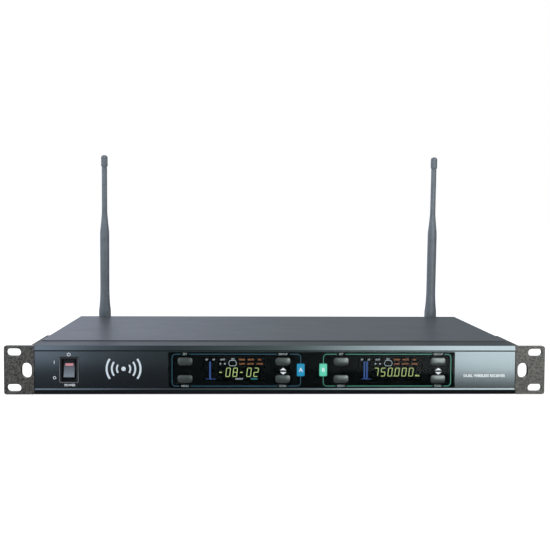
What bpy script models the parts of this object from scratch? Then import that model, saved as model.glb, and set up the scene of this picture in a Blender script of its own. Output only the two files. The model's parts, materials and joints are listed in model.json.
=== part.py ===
"""Dual-channel wireless receiver: a 1U 19-inch rack unit with two whip antennas on its rear.

Sizes are in millimetres and MM turns them into metres. X runs to the right seen from the front,
Y runs to the rear and Z up. The origin is the middle of the case's underside. Depths along Y are
measured back from the front plane by front() and back from the rear panel's face by rear().
"""

import math

import bmesh
import bpy
from mathutils import Matrix, Vector

MM = 0.001
GAP = 0.3  # clearance between two pieces that touch or run in one another

# Case
CASE_WIDTH = 429.0
CASE_DEPTH = 270.0
CASE_HEIGHT = 43.8
SHEET = 1.5
SHEET_INSET = 0.2  # how far sheet parts and ears keep inside the front panel's outline
COVER_SHEET = 1.3
COVER_RISE = 0.6  # how far the cover's top stands above the front panel
COVER_LIP = 10.0
COVER_SCREW_DEPTH = 167.4
COVER_SCREW_DROP = 6.0
SCREW_HOLE = 1.8
SCREW_SHANK = 1.4

# Front panel profile
PANEL_BACK = 4.5
FIELD_DEPTH = 1.0
BAND = 4.2
BAND_SETBACK = 1.5
BAND_CHAMFER = 1.2
FLANGE = 2.3
FLANGE_DEPTH = 33.6

# Rack ears
EAR_WIDTH = 26.8
EAR_THICKNESS = 5.0
EAR_CORNER = 2.0
EAR_FLANGE = 3.5
EAR_FLANGE_DEPTH = 82.0
SLOT_INSET = 8.75  # from the ear's end to the middle of its slots
SLOT_SPACING = 31.75
SLOT_LENGTH = 12.9
SLOT_HEIGHT = 6.7
ANTENNA_HOLE_INSET = 6.9
ANTENNA_HOLE_WIDTH = 9.2
ANTENNA_HOLE_HEIGHT = 13.6
ANTENNA_HOLE_DROP = 0.3
EAR_SCREW_DEPTHS = (28.0, 66.0)

# Display window, channel fields, tabs and buttons
WINDOW_CENTRE_X = 31.7
WINDOW_THICKNESS = 1.55
WINDOW_MARGIN = 0.5
WINDOW_LEDGE = 3.0
WINDOW_END = 14.95  # from the outer keys' middle to the window's end
BUTTON_OUTER = 45.8
BUTTON_INNER = 41.4
BUTTON_ROW = 15.7
BUTTON_DROP = 0.3
BUTTON_WIDTH = 13.0
BUTTON_HEIGHT = 7.0
BUTTON_CORNER = 2.6
BUTTON_PROUD = 1.4
BUTTON_FLANGE = 0.9
BUTTON_ROOM = 0.75
BUTTON_STEM = 1.8
BUTTON_TRAVEL = 0.8
TAB_SPACING = 16.0  # from the inner keys' middle to the tab's
TAB_TO_MIDDLE = 10.05  # from the tab's middle to the window's
TAB_WIDTH = 6.8
TAB_HEIGHT = 11.2
TAB_PROUD = 0.35
TAB_FLANGE = 1.0
TUBE_WIDTH = 56.6
TUBE_HEIGHT = 21.6
TUBE_SEAL = 0.8
TUBE_ROOM = 1.9
TUBE_OFFSET = 2.1
TUBE_RISE = 0.6
BOARD = 1.6
DISPLAY_BOARD_DEPTH = 11.0
TACT_SIZE = 6.2
TACT_HEIGHT = 3.2
LAMP_RADIUS = 2.4

# Power switch
SWITCH_INSET = 30.3
SWITCH_SIDE = 3.9  # from the rocker to the housing's side
SWITCH_END = 3.7  # from the rocker to the housing's top and bottom
SWITCH_RIM = 1.3
SWITCH_DEEP = 24.0
SWITCH_FLOOR = 5.4
SWITCH_WELL = 12.2
SWITCH_BLADE = 7.0
BLADE_SPACING = 6.0
ROCKER_WIDTH = 9.6
ROCKER_HALF = 8.0
ROCKER_PROUD = 4.6
ROCKER_AXLE = 1.0
AXLE_REACH = 0.9
ROCKER_PIVOT_DEPTH = 6.2
ROCKER_PIVOT_RISE = 0.8
ROCKER_THROW = 9.0

# Antennas
ANTENNA_INSET = 24.9
ANTENNA_TIP = 206.8  # this and the whip's other heights are above the hinge
ANTENNA_CAP = 13.2
CAP_RADIUS = 3.8
CAP_SOCKET = 4.2
ANTENNA_LEAN = {"left": 0.0, "right": 0.7}
KNUCKLE = 5.0
TONGUE_HALF = 2.6
CHEEK_OUTER = 6.4
PIN_RADIUS = 1.25
WHIP_SPIGOT = 1.9
WHIP_THIN_RADIUS = 3.05
WHIP_THIN_LENGTH = 64.8
WHIP_TAPER = 24.0
WHIP_THICK_RADIUS = 5.25
WHIP_FOOT_TOP = 51.0
WHIP_FOOT_FLARE = 23.5
WHIP_BASE_RADIUS = 6.9
WHIP_BASE_START = 6.7
NUT_RADIUS = 7.2
NUT_START = 2.7
NUT_END = 10.7
NUT_LIP = 1.2
THREAD_RADIUS = 5.5
SOCKET_BORE = 4.1
SOCKET_FLOOR = 1.0
SOCKET_NUT_RADIUS = 8.0
SOCKET_NUT = 2.4
SOCKET_TAIL = 9.0
SOCKET_TAIL_RADIUS = 6.0
STUB_RADIUS = 3.4
COLLAR_RADIUS = 6.2
COLLAR_LENGTH = 2.8  # from the nut's end to the knuckle
COLLAR_GAP = 0.4

# Rear connectors, each placed by its distance from the nearer side of the case
INLET_INSET = 78.0
XLR_INSETS = {"a": 176.0, "b": 140.0}
JACK_INSETS = {"a": 106.0, "b": 82.0}
LEVEL_INSETS = {"a": 206.0, "b": 226.0}
DATA_INSET = 56.0
PANEL_REACH = 4.0  # how far a cutter runs past the face that it opens
XLR_FLANGE_HALF_WIDTH = 13.0
XLR_FLANGE_HALF_HEIGHT = 15.5
XLR_SHELL_RADIUS = 11.9
XLR_SHELL_DEPTH = 18.7
XLR_BORE_RADIUS = 9.4
XLR_BORE_DEPTH = 16.0
XLR_KEY_HALF = 1.4
XLR_KEY_TOP = 10.6
XLR_PIN_CIRCLE = 4.9
XLR_PIN_RADIUS = 1.2
XLR_PIN_TIP = 3.9
JACK_BODY_HALF = 8.0
JACK_BODY_DEPTH = 26.0
JACK_BARREL_RADIUS = 5.0
JACK_NUT_RADIUS = 7.0
JACK_NUT_THICKNESS = 2.6
JACK_BORE_RADIUS = 3.3
JACK_BORE_DEPTH = 22.0
JACK_PROUD = 3.6
LEVEL_SLOT_HALF_WIDTH = 4.2
LEVEL_SLOT_HALF_HEIGHT = 1.8
LEVEL_BODY_MARGIN = 2.0
LEVEL_SIDE_MARGIN = 2.8
LEVEL_BODY_DEPTH = 6.0
LEVEL_CHANNEL_DEPTH = 4.0
LEVEL_PROUD = 2.2
DATA_HALF_WIDTH = 6.5
DATA_HALF_HEIGHT = 6.0
DATA_DEPTH = 16.0
DATA_CAVITY_DEPTH = 11.0
DATA_WALL = 1.6
INLET_HALF_WIDTH = 14.2
INLET_HALF_HEIGHT = 15.8
INLET_DEPTH = 24.0
INLET_RIM = 1.6
MOUTH_HALF_WIDTH = 12.2
MOUTH_HALF_HEIGHT = 8.4
MOUTH_CORNER = 4.0
MOUTH_RISE = 4.6
MOUTH_DEPTH = 16.0
BLADE_HALF_WIDTH = 1.0
BLADE_HALF_HEIGHT = 2.0
BLADE_SET_BACK = 3.0
BLADE_PLACES = ((-7.0, -1.8), (7.0, -1.8), (0.0, 2.2))
DRAWER_DROP = 10.6
DRAWER_HALF_WIDTH = 12.0
DRAWER_HALF_HEIGHT = 3.7
DRAWER_DEPTH = 21.5
DRAWER_PROUD = 2.9
FUSE_RADIUS = 2.5
FUSE_LENGTH = 20.0
FUSE_DEPTH = 8.8

# Inner boards
STANDOFF = 6.0
BOARD_START = 62.0
BOARD_END_GAP = 34.0
BOARD_SIDE_GAP = 8.0
SUPPLY_WIDTH = 78.0
POST_INSET = 6.0
POST_RADIUS = 3.0
SUPPLY_CAPACITORS = ((0.12, 0.3), (0.12, 0.62), (0.85, 0.2))  # shares of the board: along, across
CAPACITOR_RADIUS = 6.5
CAPACITOR_HEIGHT = 17.0
SINK_ALONG = 0.68
SINK_START = 48.0
SINK_WIDTH = 22.0
SINK_THICKNESS = 3.0
SINK_HEIGHT = 20.0
CORE_INSET = 22.0
CORE_ALONG = 0.42
CORE_WIDTH = 42.0
CORE_HALF_LENGTH = 17.0
CORE_HEIGHT = 26.0
WINDING_HALF_LENGTH = 22.0
WINDING_INSET = 8.0
WINDING_MARGIN = 5.0
CHIPS = (  # shares of the board across and along, then width, length and height
    (0.2, 0.2, 18, 18, 2),
    (0.5, 0.25, 14, 14, 2),
    (0.38, 0.48, 20, 8, 3),
    (0.6, 0.48, 20, 8, 3),
)
SHIELD_ACROSS = {"a": 0.12, "b": 0.62}
SHIELD_WIDTH = 60.0
SHIELD_LENGTH = 46.0
SHIELD_HEIGHT = 12.0
SHIELD_SHEET = 0.8
SHIELD_TO_END = 14.0
RIBBON_START = 60.0
RIBBON_WIDTH = 26.0
RIBBON_THICKNESS = 0.8
LEAD_RADIUS = 2.2

PARTS = "wireless_receiver"
CUTTERS = "wireless_receiver_cutters"
AXES = {"X": Vector((1, 0, 0)), "Y": Vector((0, 1, 0)), "Z": Vector((0, 0, 1))}

HALF = CASE_WIDTH / 2
SHELL_HALF = HALF - SHEET_INSET
INNER_HALF = SHELL_HALF - SHEET
MIDDLE_Z = CASE_HEIGHT / 2
COVER_TOP = CASE_HEIGHT + COVER_RISE
COVER_BOTTOM = COVER_TOP - COVER_SHEET
TAB_OFFSET = BUTTON_INNER + TAB_SPACING
CHANNEL_SPACING = 2 * (TAB_OFFSET + TAB_TO_MIDDLE)
WINDOW_WIDTH = CHANNEL_SPACING + 2 * (BUTTON_OUTER + WINDOW_END)
SWITCH_WIDTH = ROCKER_WIDTH + 2 * SWITCH_SIDE
SWITCH_HEIGHT = 2 * (ROCKER_HALF + SWITCH_END)
HINGE_BEHIND = NUT_END + COLLAR_LENGTH + KNUCKLE
SOCKET_LENGTH = NUT_END - NUT_LIP - GAP
FIELD_BOTTOM = BAND + BAND_CHAMFER
WINDOW_FRONT = FIELD_DEPTH - 0.05
WINDOW_BACK = WINDOW_FRONT + WINDOW_THICKNESS
BOARD_TOP = SHEET + STANDOFF + GAP + BOARD


# Placing --------------------------------------------------------------------------------------


def front(depth):
    """The Y of a place so far behind the front plane."""
    return depth - CASE_DEPTH / 2


def rear(beyond):
    """The Y of a place so far beyond the rear panel's face, or inside it when negative."""
    return CASE_DEPTH / 2 + beyond


def channel_x(channel):
    return WINDOW_CENTRE_X + (-0.5 if channel == "a" else 0.5) * CHANNEL_SPACING


def side_sign(side):
    return -1 if side == "left" else 1


# Materials and collections --------------------------------------------------------------------


def material(name, colour, roughness=0.5, metallic=0.0):
    made = bpy.data.materials.get(name)
    if made:
        return made
    made = bpy.data.materials.new(name)
    made.use_nodes = True
    shader = made.node_tree.nodes["Principled BSDF"]
    shader.inputs["Base Color"].default_value = (*colour, 1.0)
    shader.inputs["Roughness"].default_value = roughness
    shader.inputs["Metallic"].default_value = metallic
    made.diffuse_color = (*colour, 1.0)
    return made


def painted_steel():
    return material("painted_steel", (0.19, 0.21, 0.25), 0.42, 0.3)


def fascia_metal():
    return material("fascia_metal", (0.36, 0.41, 0.44), 0.3, 0.9)


def cast_ear():
    return material("cast_ear", (0.08, 0.08, 0.075), 0.6, 0.2)


def black_plastic():
    return material("black_plastic", (0.02, 0.02, 0.022), 0.45)


def button_plastic():
    return material("button_plastic", (0.07, 0.08, 0.08), 0.4)


def rocker_plastic():
    return material("rocker_plastic", (0.16, 0.18, 0.2), 0.4)


def smoked_lens():
    return material("smoked_lens", (0.01, 0.015, 0.016), 0.08)


def tube_glass():
    return material("tube_glass", (0.02, 0.025, 0.03), 0.1)


def tab_colour(channel):
    blue = (0.01, 0.3, 0.5)
    green = (0.1, 0.6, 0.42)
    return material("tab_" + channel, blue if channel == "a" else green, 0.3)


def circuit_board():
    return material("circuit_board", (0.02, 0.12, 0.05), 0.5)


def bright_metal():
    return material("bright_metal", (0.7, 0.7, 0.68), 0.25, 1.0)


def screw_steel():
    return material("screw_steel", (0.12, 0.12, 0.13), 0.35, 0.9)


def antenna_rubber():
    return material("antenna_rubber", (0.1, 0.11, 0.13), 0.6)


def new_collection(name):
    made = bpy.data.collections.new(name)
    bpy.context.scene.collection.children.link(made)
    return made


def place(name, data, finish):
    """A new object: with a finish it is a part, and without one it is a cutter."""
    made = bpy.data.objects.new(name, data)
    if finish:
        bpy.data.collections[PARTS].objects.link(made)
        data.materials.append(finish)
    else:
        bpy.data.collections[CUTTERS].objects.link(made)
        made.hide_render = True
        made.display_type = "WIRE"
    return made


# Shapes ---------------------------------------------------------------------------------------


def smooth(mesh):
    mesh.shade_smooth()
    mesh.set_sharp_from_angle(angle=math.radians(40))


def runs_along(edge, axis):
    start, end = edge.verts
    return abs((end.co - start.co).normalized() @ axis) > 0.9


def cuboid(name, low, high, finish=None, radius=0.0, along="Y", segments=3):
    """A box between two corners, with the edges along one axis rounded."""
    low = Vector(low) * MM
    high = Vector(high) * MM
    mesh = bpy.data.meshes.new(name)
    shape = bmesh.new()
    bmesh.ops.create_cube(shape, size=1)
    bmesh.ops.scale(shape, vec=high - low, verts=shape.verts)
    if radius:
        axis = AXES[along]
        edges = [e for e in shape.edges if runs_along(e, axis)]
        bmesh.ops.bevel(
            shape, geom=edges, offset=radius * MM, segments=segments, profile=0.5, affect="EDGES"
        )
    shape.to_mesh(mesh)
    shape.free()
    smooth(mesh)
    made = place(name, mesh, finish)
    made.location = (low + high) / 2
    return made


def cylinder(name, centre, radius, length, along, finish=None, sides=24):
    mesh = bpy.data.meshes.new(name)
    shape = bmesh.new()
    bmesh.ops.create_cone(
        shape, cap_ends=True, segments=sides, radius1=radius * MM, radius2=radius * MM, depth=length * MM
    )
    turn = AXES["Z"].rotation_difference(AXES[along])
    bmesh.ops.rotate(shape, verts=shape.verts, matrix=turn.to_matrix())
    shape.to_mesh(mesh)
    shape.free()
    smooth(mesh)
    made = place(name, mesh, finish)
    made.location = Vector(centre) * MM
    return made


def prism(name, outline, along, low, high, finish=None):
    """A flat outline pushed out along an axis: (y, z) points along X, (x, z) along Y, (x, y) along Z."""
    curve = bpy.data.curves.new(name + "_outline", "CURVE")
    curve.dimensions = "2D"
    curve.fill_mode = "BOTH"
    curve.extrude = (high - low) / 2 * MM
    spline = curve.splines.new("POLY")
    spline.points.add(len(outline) - 1)
    for point, (a, b) in zip(spline.points, outline):
        point.co = (a * MM, b * MM, 0, 1)
    spline.use_cyclic_u = True
    guide = bpy.data.objects.new(name + "_guide", curve)
    bpy.context.scene.collection.objects.link(guide)
    bpy.context.view_layer.update()
    graph = bpy.context.evaluated_depsgraph_get()
    mesh = bpy.data.meshes.new_from_object(guide.evaluated_get(graph))
    bpy.data.objects.remove(guide)
    middle = (low + high) / 2 * MM
    turn = {
        "X": Matrix(((0, 0, 1), (1, 0, 0), (0, 1, 0))),
        "Y": Matrix(((1, 0, 0), (0, 0, -1), (0, 1, 0))),
        "Z": Matrix.Identity(3),
    }[along]
    shape = bmesh.new()
    shape.from_mesh(mesh)
    bmesh.ops.remove_doubles(shape, verts=shape.verts, dist=0.00001)
    matrix = Matrix.Translation(AXES[along] * middle) @ turn.to_4x4()
    bmesh.ops.transform(shape, matrix=matrix, verts=shape.verts)
    bmesh.ops.recalc_face_normals(shape, faces=shape.faces)
    shape.to_mesh(mesh)
    shape.free()
    mesh.materials.clear()
    mesh.name = name
    smooth(mesh)
    return place(name, mesh, finish)


def obround(centre, length, height, steps=8):
    """Outline of a slot with round ends, its long side along the first axis when length is the larger."""
    radius = min(length, height) / 2
    reach_a = length / 2 - radius
    reach_b = height / 2 - radius
    points = []
    for step in range(2 * steps + 2):
        half = step > steps
        angle = math.pi * (step - half) / steps
        if reach_a >= reach_b:
            angle -= math.pi / 2
        shift = -1 if half else 1
        points.append(
            (
                centre[0] + shift * reach_a + radius * math.cos(angle),
                centre[1] + shift * reach_b + radius * math.sin(angle),
            )
        )
    return points


def turned(name, profile, centre, along, finish=None, steps=32, closed=False):
    """(radius, height) points, top to bottom, turned about an axis through the centre."""
    mesh = bpy.data.meshes.new(name)
    edges = [(i, i + 1) for i in range(len(profile) - 1)]
    if closed:
        edges.append((len(profile) - 1, 0))
    mesh.from_pydata([(r * MM, 0, h * MM) for r, h in profile], edges, [])
    made = place(name, mesh, finish)
    made.location = Vector(centre) * MM
    made.rotation_euler = AXES["Z"].rotation_difference(AXES[along]).to_euler()
    screw = made.modifiers.new("turn", "SCREW")
    screw.steps = steps
    screw.render_steps = steps
    screw.use_merge_vertices = True
    screw.merge_threshold = 0.00001
    return made


def combine(target, other, operation, solver="EXACT"):
    boolean = target.modifiers.new(operation.lower(), "BOOLEAN")
    boolean.operation = operation
    boolean.solver = solver
    boolean.object = other


def cut(target, *cutters, solver="EXACT"):
    for cutter in cutters:
        combine(target, cutter, "DIFFERENCE", solver)


def join(target, *others):
    for other in others:
        combine(target, other, "UNION")


def hold(parent, *children):
    """Puts pieces modelled about the world origin under an empty, in its own frame."""
    for child in children:
        child.parent = parent


# Case -----------------------------------------------------------------------------------------


def make_front_panel():
    top = CASE_HEIGHT
    outline = [
        (BAND_SETBACK, 0),
        (FLANGE_DEPTH, 0),
        (FLANGE_DEPTH, FLANGE),
        (PANEL_BACK, FLANGE),
        (PANEL_BACK, top - FLANGE),
        (FLANGE_DEPTH, top - FLANGE),
        (FLANGE_DEPTH, top),
        (BAND_SETBACK, top),
        (0, top - BAND),
        (FIELD_DEPTH, top - FIELD_BOTTOM),
        (FIELD_DEPTH, FIELD_BOTTOM),
        (0, BAND),
    ]
    outline = [(front(y), z) for y, z in outline]
    panel = prism("front_panel", outline, "X", -HALF, HALF, fascia_metal())
    half = WINDOW_WIDTH / 2 + GAP
    low_z = FIELD_BOTTOM + WINDOW_MARGIN - GAP
    recess = cuboid(
        "window_recess",
        (WINDOW_CENTRE_X - half, front(-1), low_z),
        (WINDOW_CENTRE_X + half, front(WINDOW_BACK + GAP), CASE_HEIGHT - low_z),
    )
    reach = aperture_half_height()
    aperture = cuboid(
        "window_aperture",
        (WINDOW_CENTRE_X - half + WINDOW_LEDGE, front(0), MIDDLE_Z - reach),
        (WINDOW_CENTRE_X + half - WINDOW_LEDGE, front(PANEL_BACK + 1), MIDDLE_Z + reach),
    )
    x = switch_x()
    half_x = SWITCH_WIDTH / 2 - SWITCH_RIM + GAP
    half_z = SWITCH_HEIGHT / 2 - SWITCH_RIM + GAP
    opening = cuboid(
        "switch_opening",
        (x - half_x, front(-1), MIDDLE_Z - half_z),
        (x + half_x, front(PANEL_BACK + 1), MIDDLE_Z + half_z),
    )
    cut(panel, recess, aperture, opening)


def aperture_half_height():
    """Room behind the window for the keys' collars and for the display tubes."""
    keys = BUTTON_ROW / 2 + BUTTON_DROP + BUTTON_HEIGHT / 2 + BUTTON_FLANGE + BUTTON_ROOM
    tubes = TUBE_HEIGHT / 2 + TUBE_RISE + TUBE_ROOM
    return max(keys, tubes)


def make_ear(side):
    sign = side_sign(side)
    inner = sign * (HALF + GAP)
    outer = sign * (HALF + EAR_WIDTH)
    low_x, high_x = sorted((inner, outer))
    bottom = SHEET_INSET
    top = CASE_HEIGHT - SHEET_INSET
    ear = cuboid(
        "rack_ear_" + side,
        (low_x, front(0), bottom),
        (high_x, front(EAR_THICKNESS), top),
        cast_ear(),
        radius=EAR_CORNER,
        segments=3,
    )
    flange_x = sorted((inner, inner + sign * EAR_FLANGE))
    flange = cuboid(
        side + "_ear_flange",
        (flange_x[0], front(0), bottom),
        (flange_x[1], front(EAR_FLANGE_DEPTH), top),
    )
    join(ear, flange)
    behind = front(EAR_THICKNESS + PANEL_REACH)
    for end in (-1, 1):
        centre = (outer - sign * SLOT_INSET, MIDDLE_Z + end * SLOT_SPACING / 2)
        outline = obround(centre, SLOT_LENGTH, SLOT_HEIGHT)
        cut(ear, prism(f"{side}_rack_slot_{end}", outline, "Y", front(-1), behind))
    centre = (sign * (HALF + ANTENNA_HOLE_INSET), MIDDLE_Z - ANTENNA_HOLE_DROP)
    hole = prism(
        side + "_antenna_hole",
        obround(centre, ANTENNA_HOLE_WIDTH, ANTENNA_HOLE_HEIGHT),
        "Y",
        front(-1),
        front(EAR_THICKNESS + 2 * PANEL_REACH),
    )
    cut(ear, hole)
    for number, depth in enumerate(EAR_SCREW_DEPTHS):
        hole = cylinder(
            f"{side}_ear_screw_hole_{number}",
            (sign * (HALF + EAR_FLANGE / 2), front(depth), MIDDLE_Z),
            SCREW_HOLE,
            EAR_FLANGE + 2 * PANEL_REACH,
            "X",
        )
        cut(ear, hole)


def make_tray():
    end = CASE_DEPTH - SHEET - GAP
    start = FLANGE_DEPTH + GAP
    tray = cuboid(
        "chassis_tray",
        (-SHELL_HALF, front(start), 0),
        (SHELL_HALF, front(end), SHEET),
        painted_steel(),
    )
    side_outline = [
        (front(PANEL_BACK + GAP), FLANGE + GAP),
        (front(start + 6), FLANGE + GAP),
        (front(start + 6), 0.4),
        (front(end - 0.2), 0.4),
        (front(end - 0.2), COVER_BOTTOM - GAP),
        (front(start), COVER_BOTTOM - GAP),
        (front(start), CASE_HEIGHT - FLANGE - GAP),
        (front(PANEL_BACK + GAP), CASE_HEIGHT - FLANGE - GAP),
    ]
    for side in ("left", "right"):
        sign = side_sign(side)
        low, high = sorted((sign * INNER_HALF, sign * (SHELL_HALF - 0.01)))
        wall = prism(side + "_tray_wall", side_outline, "X", low, high)
        join(tray, wall)
        for number, depth in enumerate(EAR_SCREW_DEPTHS):
            place_of_hole = (sign * HALF, front(depth), MIDDLE_Z)
            name = f"{side}_tray_ear_hole_{number}"
            cut(tray, cylinder(name, place_of_hole, SCREW_HOLE, 2 * PANEL_REACH, "X"))
        cut(tray, cover_screw_hole(side + "_tray_cover_hole", side))
    for number, (x, depth) in enumerate(standoffs()):
        boss = cylinder(
            f"standoff_{number}",
            (x, front(depth), SHEET + STANDOFF / 2 - 0.25),
            POST_RADIUS,
            STANDOFF + 0.5,
            "Z",
            sides=12,
        )
        join(tray, boss)


def board_end():
    return CASE_DEPTH - BOARD_END_GAP


def supply_x():
    left = -INNER_HALF + BOARD_SIDE_GAP
    return left, left + SUPPLY_WIDTH


def main_board_x():
    return supply_x()[1] + BOARD_SIDE_GAP, INNER_HALF - BOARD_SIDE_GAP + 2


def standoffs():
    """(x, depth) of the posts under the two boards."""
    posts = []
    for low, high in (supply_x(), main_board_x()):
        for x in (low + POST_INSET, high - POST_INSET):
            posts += [(x, BOARD_START + POST_INSET), (x, board_end() - POST_INSET)]
    return posts


def cover_screw_hole(name, side):
    """The hole for a cover screw, through the tray's wall and the cover's lip."""
    centre = (side_sign(side) * HALF, front(COVER_SCREW_DEPTH), COVER_BOTTOM - COVER_SCREW_DROP)
    return cylinder(name, centre, SCREW_HOLE, 3 * PANEL_REACH, "X")


def make_cover():
    start = FLANGE_DEPTH + 0.7
    cover = cuboid(
        "top_cover",
        (-SHELL_HALF, front(start), COVER_BOTTOM),
        (SHELL_HALF, rear(0), COVER_TOP),
        painted_steel(),
    )
    for side in ("left", "right"):
        sign = side_sign(side)
        reach = INNER_HALF - GAP
        low, high = sorted((sign * reach, sign * (reach - COVER_SHEET)))
        lip = cuboid(
            side + "_cover_lip",
            (low, front(start + 8), COVER_BOTTOM - COVER_LIP),
            (high, rear(-8), COVER_BOTTOM + COVER_SHEET / 2),
        )
        join(cover, lip)
        cut(cover, cover_screw_hole(side + "_lip_hole", side))


def make_rear_panel():
    """Its many holes in one thin sheet need the MANIFOLD solver, which holds at any spacing."""
    panel = cuboid(
        "rear_panel",
        (-SHELL_HALF, rear(-SHEET), 0),
        (SHELL_HALF, rear(0), COVER_BOTTOM - GAP),
        painted_steel(),
    )
    holes = []
    for side in ("left", "right"):
        holes.append(panel_hole(side + "_socket_hole", antenna_x(side), SOCKET_TAIL_RADIUS))
    for channel in ("a", "b"):
        holes.append(panel_hole("xlr_hole_" + channel, HALF - XLR_INSETS[channel], XLR_SHELL_RADIUS, 32))
        holes.append(panel_hole("jack_hole_" + channel, HALF - JACK_INSETS[channel], JACK_BARREL_RADIUS))
        holes.append(cuboid("level_slot_" + channel, *level_slot(HALF - LEVEL_INSETS[channel])))
    for name, (low, high) in (("inlet_hole", inlet_body()), ("data_hole", data_body())):
        holes.append(cuboid(name, grown(low, -1), grown(high, 1)))
    cut(panel, *holes, solver="MANIFOLD")


def panel_hole(name, x, radius, sides=24):
    return cylinder(name, (x, rear(0), MIDDLE_Z), radius + GAP, 2 * PANEL_REACH, "Y", sides=sides)


def grown(corner, sign):
    return tuple(value + sign * GAP for value in corner)


def screw_profile(head_radius, head, shank_radius, length):
    """A pan-head screw, its head at the top and the underside of the head at height 0."""
    return [
        (0, head),
        (head_radius * 0.55, head * 0.95),
        (head_radius * 0.9, head * 0.62),
        (head_radius, head * 0.25),
        (head_radius, GAP),
        (shank_radius, GAP),
        (shank_radius, -length + 0.5),
        (shank_radius - 0.5, -length),
        (0, -length),
    ]


def make_side_screw(name, side, head_x, depth, z, head_radius=2.9, head=1.9, length=7.0):
    """A screw driven in from the side of the case, its head against the surface at head_x."""
    sign = side_sign(side)
    screw = turned(
        name,
        screw_profile(head_radius, head, SCREW_SHANK, length),
        (sign * head_x, front(depth), z),
        "Z",
        screw_steel(),
        steps=14,
    )
    screw.rotation_euler = (0, sign * math.pi / 2, 0)
    for number, (wide, tall) in enumerate(((0.7, 3.0), (3.0, 0.7))):
        high_x = head_x + head + 1
        low, high = sorted((sign * (head_x + head * 0.45), sign * high_x))
        recess = cuboid(
            f"{name}_recess_{number}",
            (low, front(depth) - wide / 2, z - tall / 2),
            (high, front(depth) + wide / 2, z + tall / 2),
        )
        cut(screw, recess)


def make_screws():
    for side in ("left", "right"):
        for place_name, depth in zip(("front", "rear"), EAR_SCREW_DEPTHS):
            name = f"ear_screw_{side}_{place_name}"
            make_side_screw(name, side, HALF + GAP + EAR_FLANGE, depth, MIDDLE_Z, length=8.5)
        z = COVER_BOTTOM - COVER_SCREW_DROP
        make_side_screw("cover_screw_" + side, side, SHELL_HALF, COVER_SCREW_DEPTH, z, length=5.0)


# Display and buttons --------------------------------------------------------------------------


def button_places():
    """(name, x, z) of the eight buttons."""
    places = []
    for channel in ("a", "b"):
        centre = channel_x(channel)
        outward = -1 if channel == "a" else 1
        for column, offset in (("outer", outward * BUTTON_OUTER), ("inner", -outward * BUTTON_INNER)):
            for row, rise in (("upper", BUTTON_ROW / 2), ("lower", -BUTTON_ROW / 2)):
                z = MIDDLE_Z - BUTTON_DROP + rise
                places.append((f"button_{channel}_{column}_{row}", centre + offset, z))
    return places


def tab_x(channel):
    return channel_x(channel) + (TAB_OFFSET if channel == "a" else -TAB_OFFSET)


def make_window():
    low_z = FIELD_BOTTOM + WINDOW_MARGIN
    window = cuboid(
        "display_window",
        (WINDOW_CENTRE_X - WINDOW_WIDTH / 2, front(WINDOW_FRONT), low_z),
        (WINDOW_CENTRE_X + WINDOW_WIDTH / 2, front(WINDOW_BACK), CASE_HEIGHT - low_z),
        smoked_lens(),
        radius=0.6,
        segments=2,
    )
    for name, x, z in button_places():
        hole = cuboid(
            name + "_hole",
            (x - BUTTON_WIDTH / 2 - GAP, front(0), z - BUTTON_HEIGHT / 2 - GAP),
            (x + BUTTON_WIDTH / 2 + GAP, front(WINDOW_BACK + 1), z + BUTTON_HEIGHT / 2 + GAP),
            radius=BUTTON_CORNER + GAP,
        )
        cut(window, hole)
    for channel in ("a", "b"):
        x = tab_x(channel)
        hole = cuboid(
            f"tab_{channel}_hole",
            (x - TAB_WIDTH / 2 - GAP, front(0), MIDDLE_Z - TAB_HEIGHT / 2 - GAP),
            (x + TAB_WIDTH / 2 + GAP, front(WINDOW_BACK + 1), MIDDLE_Z + TAB_HEIGHT / 2 + GAP),
            radius=1.0,
        )
        cut(window, hole)


def make_button(name, x, z):
    """A key cap with a collar behind the window and a stem that presses a switch on the board."""
    face = front(WINDOW_FRONT - BUTTON_PROUD)
    collar = front(WINDOW_BACK + GAP)
    cap = cuboid(
        name,
        (x - BUTTON_WIDTH / 2, face, z - BUTTON_HEIGHT / 2),
        (x + BUTTON_WIDTH / 2, collar + BUTTON_FLANGE / 2, z + BUTTON_HEIGHT / 2),
        button_plastic(),
        radius=BUTTON_CORNER,
        segments=4,
    )
    bevel = cap.modifiers.new("soft_edge", "BEVEL")
    bevel.width = 0.45 * MM
    bevel.segments = 2
    bevel.limit_method = "ANGLE"
    bevel.angle_limit = math.radians(50)
    flange = cuboid(
        name + "_flange",
        (x - BUTTON_WIDTH / 2 - BUTTON_FLANGE, collar, z - BUTTON_HEIGHT / 2 - BUTTON_FLANGE),
        (
            x + BUTTON_WIDTH / 2 + BUTTON_FLANGE,
            collar + BUTTON_FLANGE,
            z + BUTTON_HEIGHT / 2 + BUTTON_FLANGE,
        ),
    )
    stem_end = front(DISPLAY_BOARD_DEPTH - TACT_HEIGHT - GAP - BUTTON_TRAVEL)
    stem = cylinder(
        name + "_stem",
        (x, (collar + stem_end) / 2 + 0.2, z),
        BUTTON_STEM,
        stem_end - collar - 0.4,
        "Y",
        sides=12,
    )
    join(cap, flange, stem)


def make_tab(channel):
    """A clear coloured light guide that shines through the window beside a channel's outline."""
    x = tab_x(channel)
    tab = cuboid(
        "channel_tab_" + channel,
        (x - TAB_WIDTH / 2, front(WINDOW_FRONT - TAB_PROUD), MIDDLE_Z - TAB_HEIGHT / 2),
        (x + TAB_WIDTH / 2, front(WINDOW_BACK + 0.6), MIDDLE_Z + TAB_HEIGHT / 2),
        tab_colour(channel),
        radius=0.8,
        segments=2,
    )
    half_x = TAB_WIDTH / 2 + TAB_FLANGE
    half_z = TAB_HEIGHT / 2 + TAB_FLANGE
    back = WINDOW_BACK + GAP
    flange = cuboid(
        f"tab_{channel}_flange",
        (x - half_x, front(back), MIDDLE_Z - half_z),
        (x + half_x, front(back + TAB_FLANGE), MIDDLE_Z + half_z),
    )
    join(tab, flange)


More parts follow.
